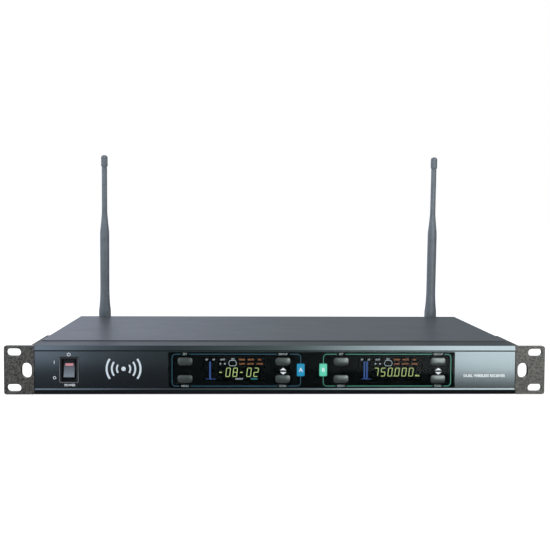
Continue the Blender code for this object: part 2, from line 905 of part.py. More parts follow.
def make_display_tube(channel):
    """A vacuum display: a glass face plate on a slightly larger sealed base."""
    outward = -1 if channel == "a" else 1
    x = channel_x(channel) + outward * TUBE_OFFSET
    z = MIDDLE_Z + TUBE_RISE
    tube = cuboid(
        "display_tube_" + channel,
        (x - TUBE_WIDTH / 2, front(PANEL_BACK - 0.2), z - TUBE_HEIGHT / 2),
        (x + TUBE_WIDTH / 2, front(PANEL_BACK + 3.2), z + TUBE_HEIGHT / 2),
        tube_glass(),
        radius=0.5,
        segments=1,
    )
    half_x = TUBE_WIDTH / 2 + TUBE_SEAL
    half_z = TUBE_HEIGHT / 2 + TUBE_SEAL
    base = cuboid(
        f"tube_{channel}_base",
        (x - half_x, front(PANEL_BACK + 3), z - half_z),
        (x + half_x, front(DISPLAY_BOARD_DEPTH - GAP), z + half_z),
    )
    join(tube, base)


def make_display_board():
    """The board behind the window, with its key switches, two lamps and four spacers."""
    depth = front(DISPLAY_BOARD_DEPTH)
    half = WINDOW_WIDTH / 2 + 4.5
    board = cuboid(
        "display_board",
        (WINDOW_CENTRE_X - half, depth, FLANGE + 2),
        (WINDOW_CENTRE_X + half, depth + BOARD, CASE_HEIGHT - FLANGE - 2),
        circuit_board(),
    )
    for name, x, z in button_places():
        key = cuboid(
            name + "_switch",
            (x - TACT_SIZE / 2, depth - TACT_HEIGHT, z - TACT_SIZE / 2),
            (x + TACT_SIZE / 2, depth + 0.4, z + TACT_SIZE / 2),
        )
        join(board, key)
    for channel in ("a", "b"):
        centre = (tab_x(channel), depth - LAMP_RADIUS, MIDDLE_Z)
        lamp = cylinder(f"lamp_{channel}", centre, LAMP_RADIUS, 5.6, "Y", sides=16)
        join(board, lamp)
    for x in (WINDOW_CENTRE_X - half + 3, WINDOW_CENTRE_X + half - 3):
        for rise in (-10, 10):
            length = DISPLAY_BOARD_DEPTH - PANEL_BACK - GAP
            spacer = cylinder(
                f"board_spacer_{x:.0f}_{rise}",
                (x, depth - length / 2 + 0.2, MIDDLE_Z + rise),
                2.2,
                length + 0.4,
                "Y",
                sides=12,
            )
            join(board, spacer)


# Power switch ---------------------------------------------------------------------------------


def switch_x():
    return -HALF + SWITCH_INSET


def rocker_pivot():
    return Vector((switch_x(), front(ROCKER_PIVOT_DEPTH), MIDDLE_Z + ROCKER_PIVOT_RISE))


def make_switch_housing():
    x = switch_x()
    pivot = rocker_pivot()
    rim_front = front(FIELD_DEPTH - 0.7)
    housing = cuboid(
        "power_switch_housing",
        (x - SWITCH_WIDTH / 2, rim_front, MIDDLE_Z - SWITCH_HEIGHT / 2),
        (x + SWITCH_WIDTH / 2, front(FIELD_DEPTH - GAP), MIDDLE_Z + SWITCH_HEIGHT / 2),
        black_plastic(),
        radius=1.0,
        segments=2,
    )
    half_x = SWITCH_WIDTH / 2 - SWITCH_RIM
    half_z = SWITCH_HEIGHT / 2 - SWITCH_RIM
    body = cuboid(
        "switch_body",
        (x - half_x, rim_front + 0.1, MIDDLE_Z - half_z),
        (x + half_x, front(SWITCH_DEEP), MIDDLE_Z + half_z),
    )
    join(housing, body)
    for number, rise in enumerate((-BLADE_SPACING, 0, BLADE_SPACING)):
        blade = cuboid(
            f"switch_blade_{number}",
            (x - 2.4, front(SWITCH_DEEP - 1), MIDDLE_Z + rise - 0.4),
            (x + 2.4, front(SWITCH_DEEP + SWITCH_BLADE), MIDDLE_Z + rise + 0.4),
        )
        join(housing, blade)
    recess = cuboid(
        "switch_recess",
        (x - half_x + 0.8, front(-2), MIDDLE_Z - half_z + 0.5),
        (x + half_x - 0.8, front(SWITCH_FLOOR), MIDDLE_Z + half_z - 0.5),
    )
    throw = math.radians(ROCKER_THROW)
    reach = ROCKER_HALF * math.cos(throw) + ROCKER_PROUD * math.sin(throw) + 2 * GAP
    well = cuboid(
        "switch_well",
        (x - ROCKER_WIDTH / 2 - GAP - 0.1, front(-2), pivot.z - reach),
        (x + ROCKER_WIDTH / 2 + GAP + 0.1, front(SWITCH_WELL), pivot.z + reach),
    )
    axle_length = ROCKER_WIDTH + 2 * (AXLE_REACH + GAP + 0.1)
    axle = cylinder("switch_axle_hole", pivot, ROCKER_AXLE + GAP, axle_length, "X", sides=16)
    cut(housing, recess, well, axle)


def make_rocker():
    """The rocker rests pressed in at its top, which is on, and turns about its own axle."""
    tip = ROCKER_HALF
    outline = [
        (-3.2, 0),
        (-ROCKER_PROUD, -tip),
        (0.4, -tip - 0.5),
        (3.2, -tip / 2),
        (3.2, tip / 2),
        (0.4, tip + 0.5),
        (-ROCKER_PROUD, tip),
    ]
    rocker = prism("power_rocker", outline, "X", -ROCKER_WIDTH / 2, ROCKER_WIDTH / 2, rocker_plastic())
    axle_length = ROCKER_WIDTH + 2 * AXLE_REACH
    axle = cylinder("rocker_axle", (0, 0, 0), ROCKER_AXLE, axle_length, "X", sides=16)
    pivot = bpy.data.objects.new("rocker_axis", None)
    bpy.data.collections[PARTS].objects.link(pivot)
    pivot.location = rocker_pivot() * MM
    pivot.rotation_euler = (math.radians(-ROCKER_THROW), 0, 0)
    hold(pivot, rocker, axle)
    join(rocker, axle)


# Antennas -------------------------------------------------------------------------------------


def antenna_x(side):
    return side_sign(side) * (HALF - ANTENNA_INSET)


def make_antenna_socket(side):
    """A threaded coaxial socket with its panel nut, open at its mouth."""
    profile = [
        (SOCKET_BORE, SOCKET_LENGTH),
        (THREAD_RADIUS, SOCKET_LENGTH),
        (THREAD_RADIUS, SOCKET_NUT),
        (SOCKET_NUT_RADIUS, SOCKET_NUT),
        (SOCKET_NUT_RADIUS, GAP),
        (SOCKET_TAIL_RADIUS, GAP),
        (SOCKET_TAIL_RADIUS, -SOCKET_TAIL),
        (0, -SOCKET_TAIL),
        (0, SOCKET_FLOOR),
        (SOCKET_BORE, SOCKET_FLOOR),
    ]
    turned(
        "antenna_socket_" + side,
        profile,
        (antenna_x(side), rear(0), MIDDLE_Z),
        "Y",
        bright_metal(),
        steps=24,
        closed=True,
    )


def make_antenna_nut(side):
    """The coupling nut: its open end turns on the socket's thread."""
    wall = THREAD_RADIUS + GAP
    neck = STUB_RADIUS + GAP
    profile = [
        (neck, NUT_END),
        (NUT_RADIUS - 0.6, NUT_END),
        (NUT_RADIUS, NUT_END - 0.6),
        (NUT_RADIUS, NUT_START + 0.6),
        (NUT_RADIUS - 0.6, NUT_START),
        (wall, NUT_START),
        (wall, NUT_END - NUT_LIP),
        (neck, NUT_END - NUT_LIP),
    ]
    turned(
        "antenna_nut_" + side,
        profile,
        (antenna_x(side), rear(0), MIDDLE_Z),
        "Y",
        bright_metal(),
        steps=24,
        closed=True,
    )


def make_antenna_mast(side):
    """The elbow, its hinge pin, the whip and the whip's cap, on an empty that leans as the mast does."""
    frame = bpy.data.objects.new("antenna_axis_" + side, None)
    bpy.data.collections[PARTS].objects.link(frame)
    frame.location = Vector((antenna_x(side), rear(0), MIDDLE_Z)) * MM
    frame.rotation_euler = (0, math.radians(ANTENNA_LEAN[side]), 0)
    hinge_y = HINGE_BEHIND

    stub_end = SOCKET_FLOOR + GAP
    collar = hinge_y - KNUCKLE - COLLAR_GAP
    elbow = turned(
        "antenna_elbow_" + side,
        [
            (0, collar),
            (COLLAR_RADIUS - 0.3, collar),
            (COLLAR_RADIUS, collar - 0.4),
            (COLLAR_RADIUS, NUT_END + GAP + 0.2),
            (COLLAR_RADIUS - 0.3, NUT_END + GAP),
            (STUB_RADIUS, NUT_END + GAP),
            (STUB_RADIUS, stub_end + 0.6),
            (STUB_RADIUS - 0.4, stub_end),
            (0, stub_end),
        ],
        (0, 0, 0),
        "Y",
        antenna_rubber(),
        steps=22,
    )
    outline = tongue_outline(collar - 0.6, hinge_y)
    tongue = prism(side + "_tongue", outline, "X", -TONGUE_HALF, TONGUE_HALF)
    tongue_hole = cylinder(side + "_tongue_hole", (0, hinge_y, 0), PIN_RADIUS + GAP, 16, "X", sides=20)
    join(elbow, tongue)
    cut(elbow, tongue_hole)

    pin = cylinder(
        "antenna_pin_" + side, (0, hinge_y, 0), PIN_RADIUS, 2 * CHEEK_OUTER, "X", bright_metal(), sides=20
    )

    whip = turned(
        "antenna_whip_" + side, whip_profile(), (0, hinge_y, 0), "Z", antenna_rubber(), steps=24
    )
    fork = prism(side + "_fork", fork_outline(hinge_y), "X", -CHEEK_OUTER + 0.2, CHEEK_OUTER - 0.2)
    slot = cuboid(
        side + "_fork_slot",
        (-TONGUE_HALF - GAP, hinge_y - 12, -12),
        (TONGUE_HALF + GAP, hinge_y + 12, KNUCKLE + 0.6),
    )
    whip_hole = cylinder(side + "_whip_hole", (0, hinge_y, 0), PIN_RADIUS + GAP, 20, "X", sides=20)
    join(whip, fork)
    cut(whip, slot, whip_hole)

    tip = ANTENNA_TIP
    cap = turned(
        "antenna_cap_" + side,
        [
            (0, tip),
            (CAP_RADIUS * 0.5, tip - 0.35),
            (CAP_RADIUS * 0.82, tip - 1.3),
            (CAP_RADIUS, tip - 3.0),
            (CAP_RADIUS, tip - ANTENNA_CAP),
            (WHIP_SPIGOT + GAP, tip - ANTENNA_CAP),
            (WHIP_SPIGOT + GAP, tip - CAP_SOCKET),
            (0, tip - CAP_SOCKET),
        ],
        (0, hinge_y, 0),
        "Z",
        antenna_rubber(),
        steps=24,
    )
    hold(frame, elbow, tongue, tongue_hole, pin, whip, fork, slot, whip_hole, cap)


def tongue_outline(start, hinge_y):
    steps = 10
    points = [(start, KNUCKLE), (start, -KNUCKLE)]
    for step in range(steps + 1):
        angle = math.pi * step / steps - math.pi / 2
        points.append((hinge_y + KNUCKLE * math.cos(angle), KNUCKLE * math.sin(angle)))
    return points


def fork_outline(hinge_y):
    steps = 10
    top = WHIP_BASE_START + 1
    radius = KNUCKLE
    points = [(hinge_y + radius, top), (hinge_y - radius, top)]
    for step in range(steps + 1):
        angle = math.pi + math.pi * step / steps
        points.append((hinge_y + radius * math.cos(angle), radius * math.sin(angle)))
    return points


def whip_profile():
    """Radius and height above the hinge: a thin tip, a taper, a thicker lower half and a flared foot."""
    shoulder = ANTENNA_TIP - ANTENNA_CAP - GAP
    taper_top = ANTENNA_TIP - WHIP_THIN_LENGTH
    thinner = WHIP_THICK_RADIUS - WHIP_THIN_RADIUS
    flare = WHIP_BASE_RADIUS - WHIP_THICK_RADIUS
    return [
        (0, ANTENNA_TIP - CAP_SOCKET - GAP),
        (WHIP_SPIGOT, ANTENNA_TIP - CAP_SOCKET - GAP),
        (WHIP_SPIGOT, shoulder),
        (WHIP_THIN_RADIUS - 0.2, shoulder),
        (WHIP_THIN_RADIUS, shoulder - 0.4),
        (WHIP_THIN_RADIUS, taper_top),
        (WHIP_THICK_RADIUS - thinner * 0.7, taper_top - WHIP_TAPER * 0.35),
        (WHIP_THICK_RADIUS - thinner * 0.25, taper_top - WHIP_TAPER * 0.77),
        (WHIP_THICK_RADIUS, taper_top - WHIP_TAPER),
        (WHIP_THICK_RADIUS, WHIP_FOOT_TOP),
        (WHIP_THICK_RADIUS + flare * 0.21, WHIP_FOOT_TOP - WHIP_FOOT_FLARE * 0.43),
        (WHIP_THICK_RADIUS + flare * 0.52, WHIP_FOOT_TOP - WHIP_FOOT_FLARE * 0.75),
        (WHIP_BASE_RADIUS, WHIP_FOOT_TOP - WHIP_FOOT_FLARE),
        (WHIP_BASE_RADIUS, WHIP_BASE_START + 0.5),
        (WHIP_BASE_RADIUS - 0.5, WHIP_BASE_START),
        (0, WHIP_BASE_START),
    ]


# Rear connectors ------------------------------------------------------------------------------


def make_xlr(channel):
    """A three-pin output: flange outside the panel, round shell behind it, pins on the floor."""
    x = HALF - XLR_INSETS[channel]
    z = MIDDLE_Z
    name = "xlr_output_" + channel
    flange_face = 2.3
    body = cuboid(
        name,
        (x - XLR_FLANGE_HALF_WIDTH, rear(GAP), z - XLR_FLANGE_HALF_HEIGHT),
        (x + XLR_FLANGE_HALF_WIDTH, rear(flange_face), z + XLR_FLANGE_HALF_HEIGHT),
        black_plastic(),
        radius=2.5,
        segments=3,
    )
    shell = barrel(name + "_shell", x, -XLR_SHELL_DEPTH, flange_face - 0.4, XLR_SHELL_RADIUS, 32)
    bore = barrel(name + "_bore", x, -XLR_BORE_DEPTH, flange_face + PANEL_REACH, XLR_BORE_RADIUS, 32)
    key = cuboid(
        name + "_key",
        (x - XLR_KEY_HALF, rear(-XLR_BORE_DEPTH), z + XLR_BORE_RADIUS - 1.4),
        (x + XLR_KEY_HALF, rear(flange_face + 1), z + XLR_KEY_TOP),
    )
    join(body, shell)
    cut(body, bore, key)
    for number, angle in enumerate((30, 150, 270)):
        turn = math.radians(angle)
        length = XLR_BORE_DEPTH - XLR_PIN_TIP + 0.9
        centre = (
            x + XLR_PIN_CIRCLE * math.cos(turn),
            rear(-XLR_PIN_TIP - length / 2),
            z + XLR_PIN_CIRCLE * math.sin(turn),
        )
        pin = cylinder(f"{name}_pin_{number}", centre, XLR_PIN_RADIUS, length, "Y", sides=12)
        join(body, pin)


def barrel(name, x, low, high, radius, sides):
    """A round length through the rear panel, between two distances beyond its face."""
    return cylinder(name, (x, rear((low + high) / 2), MIDDLE_Z), radius, high - low, "Y", sides=sides)


def make_jack(channel):
    """A 6.3 mm output: hexagon nut outside, moulded body inside, one round bore."""
    x = HALF - JACK_INSETS[channel]
    z = MIDDLE_Z
    name = "jack_output_" + channel
    half = JACK_BODY_HALF
    body = cuboid(
        name,
        (x - half, rear(-JACK_BODY_DEPTH), z - half),
        (x + half, rear(-SHEET - GAP), z + half),
        black_plastic(),
    )
    neck = barrel(name + "_neck", x, -SHEET - GAP - 0.6, JACK_PROUD, JACK_BARREL_RADIUS, 24)
    nut = barrel(name + "_nut", x, GAP, GAP + JACK_NUT_THICKNESS, JACK_NUT_RADIUS, 6)
    bore = barrel(name + "_bore", x, -JACK_BORE_DEPTH, JACK_PROUD + PANEL_REACH, JACK_BORE_RADIUS, 24)
    join(body, neck, nut)
    cut(body, bore)


def level_slot(x, low_y=-3.0, high_y=3.0):
    """The slot's corners, through the panel or between two other distances beyond its face."""
    half_x = LEVEL_SLOT_HALF_WIDTH
    half_z = LEVEL_SLOT_HALF_HEIGHT
    return (x - half_x, rear(low_y), MIDDLE_Z - half_z), (x + half_x, rear(high_y), MIDDLE_Z + half_z)


def make_level_switch(channel):
    """A two-position slide switch behind a slot in the panel."""
    x = HALF - LEVEL_INSETS[channel]
    z = MIDDLE_Z
    face = -SHEET - GAP
    half_x = LEVEL_SLOT_HALF_WIDTH + LEVEL_SIDE_MARGIN
    half_z = LEVEL_SLOT_HALF_HEIGHT + LEVEL_BODY_MARGIN
    body = cuboid(
        "level_switch_" + channel,
        (x - half_x, rear(face - LEVEL_BODY_DEPTH), z - half_z),
        (x + half_x, rear(face), z + half_z),
        bright_metal(),
    )
    low, high = level_slot(x, face - LEVEL_CHANNEL_DEPTH, face + 1)
    cut(body, cuboid("level_channel_" + channel, low, high))
    slider_z = LEVEL_SLOT_HALF_HEIGHT - GAP
    cuboid(
        "level_slider_" + channel,
        (x - LEVEL_SLOT_HALF_WIDTH + GAP, rear(face - LEVEL_CHANNEL_DEPTH + GAP), z - slider_z),
        (x - 0.1, rear(LEVEL_PROUD), z + slider_z),
        black_plastic(),
        radius=0.3,
        segments=1,
    )


def data_body():
    x = HALF - DATA_INSET
    low = (x - DATA_HALF_WIDTH, rear(-DATA_DEPTH), MIDDLE_Z - DATA_HALF_HEIGHT)
    high = (x + DATA_HALF_WIDTH, rear(0.6), MIDDLE_Z + DATA_HALF_HEIGHT)
    return low, high


def make_data_port():
    """A modular socket with a narrower groove under its mouth for a plug's latch."""
    x = HALF - DATA_INSET
    z = MIDDLE_Z
    low, high = data_body()
    body = cuboid("data_port", low, high, black_plastic())
    half = DATA_HALF_WIDTH - DATA_WALL
    depth = rear(-DATA_CAVITY_DEPTH)
    cavity = cuboid("data_cavity", (x - half, depth, z - 3.4), (x + half, rear(2), z + 3.8))
    latch = cuboid("data_latch", (x - 2, rear(-8), z - 5), (x + 2, rear(2), z - 3))
    cut(body, cavity, latch)


def inlet_x():
    return -HALF + INLET_INSET


def inlet_body():
    x = inlet_x()
    low = (x - INLET_HALF_WIDTH, rear(-INLET_DEPTH), MIDDLE_Z - INLET_HALF_HEIGHT)
    high = (x + INLET_HALF_WIDTH, rear(1), MIDDLE_Z + INLET_HALF_HEIGHT)
    return low, high


def mouth_outline(x, z):
    """The mains socket's mouth: a rectangle with its two upper corners cut off."""
    right = x + MOUTH_HALF_WIDTH
    left = x - MOUTH_HALF_WIDTH
    top = z + MOUTH_HALF_HEIGHT
    bottom = z - MOUTH_HALF_HEIGHT
    return [
        (left, bottom),
        (right, bottom),
        (right, top - MOUTH_CORNER),
        (right - MOUTH_CORNER, top),
        (left + MOUTH_CORNER, top),
        (left, top - MOUTH_CORNER),
    ]


def drawer_middle_z():
    return MIDDLE_Z - DRAWER_DROP


def make_inlet():
    """The mains inlet: a mouth with three blades above, and the fuse drawer's slot below."""
    x = inlet_x()
    low, high = inlet_body()
    flange = cuboid(
        "mains_inlet",
        (low[0] - INLET_RIM, rear(GAP), low[2] - INLET_RIM),
        (high[0] + INLET_RIM, rear(2.2), high[2] + INLET_RIM),
        black_plastic(),
        radius=2.0,
        segments=3,
    )
    body = cuboid("inlet_block", low, high)
    mouth_z = MIDDLE_Z + MOUTH_RISE
    mouth = prism("inlet_mouth", mouth_outline(x, mouth_z), "Y", rear(-MOUTH_DEPTH), rear(PANEL_REACH))
    join(flange, body)
    cut(flange, mouth)
    for number, (dx, dz) in enumerate(BLADE_PLACES):
        blade = cuboid(
            f"inlet_blade_{number}",
            (x + dx - BLADE_HALF_WIDTH, rear(-MOUTH_DEPTH - 1), mouth_z + dz - BLADE_HALF_HEIGHT),
            (x + dx + BLADE_HALF_WIDTH, rear(-BLADE_SET_BACK), mouth_z + dz + BLADE_HALF_HEIGHT),
        )
        join(flange, blade)
    z = drawer_middle_z()
    half_x = DRAWER_HALF_WIDTH + GAP
    half_z = DRAWER_HALF_HEIGHT + GAP
    slot_depth = DRAWER_DEPTH + 0.5
    slot = cuboid(
        "drawer_slot",
        (x - half_x, rear(-slot_depth), z - half_z),
        (x + half_x, rear(PANEL_REACH), z + half_z),
    )
    cut(flange, slot)


def make_fuse_drawer():
    x = inlet_x()
    z = drawer_middle_z()
    drawer = cuboid(
        "fuse_drawer",
        (x - DRAWER_HALF_WIDTH, rear(-DRAWER_DEPTH), z - DRAWER_HALF_HEIGHT),
        (x + DRAWER_HALF_WIDTH, rear(DRAWER_PROUD), z + DRAWER_HALF_HEIGHT),
        black_plastic(),
    )
    half_x = FUSE_LENGTH / 2 + 2 * GAP
    pocket_floor = z + 0.2 - FUSE_RADIUS - GAP
    pocket = cuboid(
        "fuse_pocket",
        (x - half_x, rear(-FUSE_DEPTH - FUSE_RADIUS - 0.7), pocket_floor),
        (x + half_x, rear(-FUSE_DEPTH + FUSE_RADIUS + 0.7), z + 6),
    )
    grip = cuboid("drawer_grip", (x - 4, rear(DRAWER_PROUD - 1.3), z + 1.4), (x + 4, rear(5), z + 6))
    cut(drawer, pocket, grip)
    centre = (x, rear(-FUSE_DEPTH), z + 0.2)
    cylinder("mains_fuse", centre, FUSE_RADIUS, FUSE_LENGTH, "X", bright_metal(), sides=20)


# Inner pieces ---------------------------------------------------------------------------------


def make_supply():
    low_x, high_x = supply_x()
    board = cuboid(
        "power_supply_board",
        (low_x, front(BOARD_START), BOARD_TOP - BOARD),
        (high_x, front(board_end()), BOARD_TOP),
        circuit_board(),
    )
    for number, (along, across) in enumerate(SUPPLY_CAPACITORS):
        x = low_x + across * SUPPLY_WIDTH
        centre = (x, front(along_board(along)), BOARD_TOP + CAPACITOR_HEIGHT / 2 - 0.5)
        name = f"supply_capacitor_{number}"
        capacitor = cylinder(name, centre, CAPACITOR_RADIUS, CAPACITOR_HEIGHT + 1, "Z", sides=20)
        join(board, capacitor)
    sink_depth = along_board(SINK_ALONG)
    sink_x = low_x + SINK_START
    sink = cuboid(
        "heat_sink",
        (sink_x, front(sink_depth), BOARD_TOP - 1),
        (sink_x + SINK_WIDTH, front(sink_depth + SINK_THICKNESS), BOARD_TOP + SINK_HEIGHT),
    )
    join(board, sink)


def along_board(share):
    """The depth of a place that lies this share of the way along the two boards."""
    return BOARD_START + share * (board_end() - BOARD_START)


def make_transformer():
    """An open-frame transformer: a laminated core with its winding standing out at both ends."""
    low_x = supply_x()[0] + CORE_INSET
    middle = along_board(CORE_ALONG)
    bottom = BOARD_TOP + GAP
    core = cuboid(
        "mains_transformer",
        (low_x, front(middle - CORE_HALF_LENGTH), bottom),
        (low_x + CORE_WIDTH, front(middle + CORE_HALF_LENGTH), bottom + CORE_HEIGHT),
        screw_steel(),
    )
    winding = cuboid(
        "winding",
        (low_x + WINDING_INSET, front(middle - WINDING_HALF_LENGTH), bottom + WINDING_MARGIN),
        (
            low_x + CORE_WIDTH - WINDING_INSET,
            front(middle + WINDING_HALF_LENGTH),
            bottom + CORE_HEIGHT - WINDING_MARGIN,
        ),
        radius=3,
        along="X",
    )
    join(core, winding)


def make_main_board():
    low_x, high_x = main_board_x()
    board = cuboid(
        "main_board",
        (low_x, front(BOARD_START), BOARD_TOP - BOARD),
        (high_x, front(board_end()), BOARD_TOP),
        circuit_board(),
    )
    for number, (across, along, wide, deep, high) in enumerate(CHIPS):
        x = low_x + across * (high_x - low_x)
        depth = along_board(along)
        chip = cuboid(
            f"chip_{number}",
            (x - wide / 2, front(depth - deep / 2), BOARD_TOP - 0.5),
            (x + wide / 2, front(depth + deep / 2), BOARD_TOP + high),
        )
        join(board, chip)


def make_shield(channel):
    """A folded tin lid over one channel's receiver circuit, open underneath."""
    low_x, high_x = main_board_x()
    x = low_x + SHIELD_ACROSS[channel] * (high_x - low_x)
    start = board_end() - SHIELD_LENGTH - SHIELD_TO_END
    end = start + SHIELD_LENGTH
    bottom = BOARD_TOP + GAP
    top = bottom + SHIELD_HEIGHT
    lid = cuboid(
        "rf_shield_" + channel,
        (x, front(start), bottom),
        (x + SHIELD_WIDTH, front(end), top),
        bright_metal(),
    )
    hollow = cuboid(
        f"shield_{channel}_hollow",
        (x + SHIELD_SHEET, front(start + SHIELD_SHEET), bottom - 2),
        (x + SHIELD_WIDTH - SHIELD_SHEET, front(end - SHIELD_SHEET), top - SHIELD_SHEET),
    )
    cut(lid, hollow)


def strip_outline(points, thickness):
    """Both sides of a bent strip, given the middle line of its thickness."""
    sides = ([], [])
    for number, point in enumerate(points):
        before = Vector(points[max(number - 1, 0)])
        after = Vector(points[min(number + 1, len(points) - 1)])
        along = (after - before).normalized()
        across = Vector((-along.y, along.x)) * thickness / 2
        sides[0].append(tuple(Vector(point) + across))
        sides[1].append(tuple(Vector(point) - across))
    return sides[0] + sides[1][::-1]


def make_ribbon():
    """The flat cable from the display board down to the main board."""
    start = DISPLAY_BOARD_DEPTH + BOARD + GAP
    points = [
        (start, MIDDLE_Z - 4),
        (start + 6, MIDDLE_Z - 4),
        (start + 14, MIDDLE_Z - 5.5),
        (start + 26, BOARD_TOP + 4.5),
        (BOARD_START, BOARD_TOP + 1.8),
        (BOARD_START + 8, BOARD_TOP + 1.0),
    ]
    outline = strip_outline([(front(y), z) for y, z in points], RIBBON_THICKNESS)
    low_x = main_board_x()[0] + RIBBON_START
    grey = material("ribbon", (0.5, 0.5, 0.5), 0.6)
    prism("ribbon_cable", outline, "X", low_x, low_x + RIBBON_WIDTH, grey)


def make_mains_lead():
    """The pair from the inlet to the power switch, clipped along the left wall."""
    wall = -INNER_HALF + 5
    points = [
        (switch_x(), front(SWITCH_DEEP + SWITCH_BLADE + LEAD_RADIUS + 1), MIDDLE_Z),
        (switch_x() - 2, front(SWITCH_DEEP + 16), MIDDLE_Z + 1),
        (wall + 6, front(SWITCH_DEEP + 28), MIDDLE_Z + 5),
        (wall, front(SWITCH_DEEP + 44), MIDDLE_Z + 7),
        (wall, front(CASE_DEPTH / 2), MIDDLE_Z + 7),
        (wall, rear(-62), MIDDLE_Z + 7),
        (wall + 8, rear(-48), MIDDLE_Z + 7),
        (wall + 28, rear(-40), MIDDLE_Z + 5),
        (inlet_x() - 14, rear(-37), MIDDLE_Z + 3),
        (inlet_x() - 3, rear(-34), MIDDLE_Z + 1),
        (inlet_x(), rear(-INLET_DEPTH - LEAD_RADIUS - 0.8), MIDDLE_Z),
    ]
    curve = bpy.data.curves.new("mains_lead", "CURVE")
    curve.dimensions = "3D"
    curve.bevel_depth = LEAD_RADIUS * MM
    curve.bevel_resolution = 2
    curve.use_fill_caps = True
    spline = curve.splines.new("POLY")
    path = smooth_path([Vector(p) for p in points], 3)
    spline.points.add(len(path) - 1)
    for point, co in zip(spline.points, path):
        point.co = (*(co * MM), 1)
    place("mains_lead", curve, material("lead_sheath", (0.03, 0.03, 0.03), 0.5))


def smooth_path(points, between):
    """Points on one smooth curve through the given points."""
    ends = [2 * points[0] - points[1]] + points + [2 * points[-1] - points[-2]]
    path = []
    for number in range(1, len(ends) - 2):
        a, b, c, d = ends[number - 1 : number + 3]
        for step in range(between):
            t = step / between
            path.append(
                0.5
                * (
                    2 * b
                    + (c - a) * t
                    + (2 * a - 5 * b + 4 * c - d) * t**2
                    + (3 * b - a - 3 * c + d) * t**3
                )
            )
    path.append(points[-1])
    return path


def main():
    for old in list(bpy.data.objects):
        bpy.data.objects.remove(old)
    new_collection(PARTS)
    new_collection(CUTTERS).hide_render = True

    make_front_panel()
    make_tray()
    make_cover()
    make_rear_panel()
    for side in ("left", "right"):
        make_ear(side)
        make_antenna_socket(side)
        make_antenna_nut(side)
        make_antenna_mast(side)
    make_screws()

    make_window()
    make_display_board()
    for name, x, z in button_places():
        make_button(name, x, z)
    make_switch_housing()
    make_rocker()
    for channel in ("a", "b"):
        make_tab(channel)
        make_display_tube(channel)
        make_xlr(channel)
        make_jack(channel)
        make_level_switch(channel)
        make_shield(channel)
    make_inlet()
    make_fuse_drawer()
    make_data_port()

    make_supply()
    make_transformer()
    make_main_board()
    make_ribbon()
    make_mains_lead()


main()
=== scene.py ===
"""Looks of a dual-channel wireless receiver, one rack unit high, with two whip antennas.

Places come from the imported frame, in metres; MM turns the millimetres written here into metres.
X runs to the right seen from the front, Y to the rear and Z up.
"""

import json
import math

import bmesh
import bpy
from mathutils import Matrix, Vector


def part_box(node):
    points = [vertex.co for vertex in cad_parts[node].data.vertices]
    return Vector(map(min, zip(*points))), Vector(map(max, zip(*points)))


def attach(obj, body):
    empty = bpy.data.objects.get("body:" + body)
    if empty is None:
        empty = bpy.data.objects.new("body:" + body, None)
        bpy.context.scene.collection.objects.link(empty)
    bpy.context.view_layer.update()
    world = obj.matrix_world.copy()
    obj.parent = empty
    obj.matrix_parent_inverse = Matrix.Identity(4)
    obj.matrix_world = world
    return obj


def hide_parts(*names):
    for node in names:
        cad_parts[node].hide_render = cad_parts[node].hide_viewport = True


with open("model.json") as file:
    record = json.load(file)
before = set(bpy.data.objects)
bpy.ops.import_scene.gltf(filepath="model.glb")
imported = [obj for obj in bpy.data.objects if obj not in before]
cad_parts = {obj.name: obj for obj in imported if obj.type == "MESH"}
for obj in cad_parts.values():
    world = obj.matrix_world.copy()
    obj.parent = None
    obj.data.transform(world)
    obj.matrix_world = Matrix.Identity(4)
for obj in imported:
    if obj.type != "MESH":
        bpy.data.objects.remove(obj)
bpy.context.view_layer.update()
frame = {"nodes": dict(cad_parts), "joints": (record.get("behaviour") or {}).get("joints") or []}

MM = 0.001
INK = 0.03
SIDES = ("left", "right")
CHANNELS = ("a", "b")
ROOT = "case"


def extent(node):
    """A node's low and high corners, in millimetres."""
    return [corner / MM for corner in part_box(node)]


def centre(node):
    low, high = extent(node)
    return (low + high) / 2


def joint(name):
    return next(j for j in frame["joints"] if j["name"] == name)


TUBE_HALF_WIDTH = 29.1
TUBE_OFFSET = 2.1
PANEL_LOW, PANEL_HIGH = extent("front_panel")
WINDOW_LOW, WINDOW_HIGH = extent("display_window")
WINDOW_MIDDLE = (WINDOW_LOW + WINDOW_HIGH) / 2
REAR_Y = extent("rear_panel")[1].y
MIDDLE_Z = PANEL_HIGH.z / 2
FIELD_Y = PANEL_LOW.y + 1.0
CHANNEL_X = {
    channel: extent("display_tube_" + channel)[0].x + TUBE_HALF_WIDTH + sign * TUBE_OFFSET
    for channel, sign in (("a", 1), ("b", -1))
}


# Materials


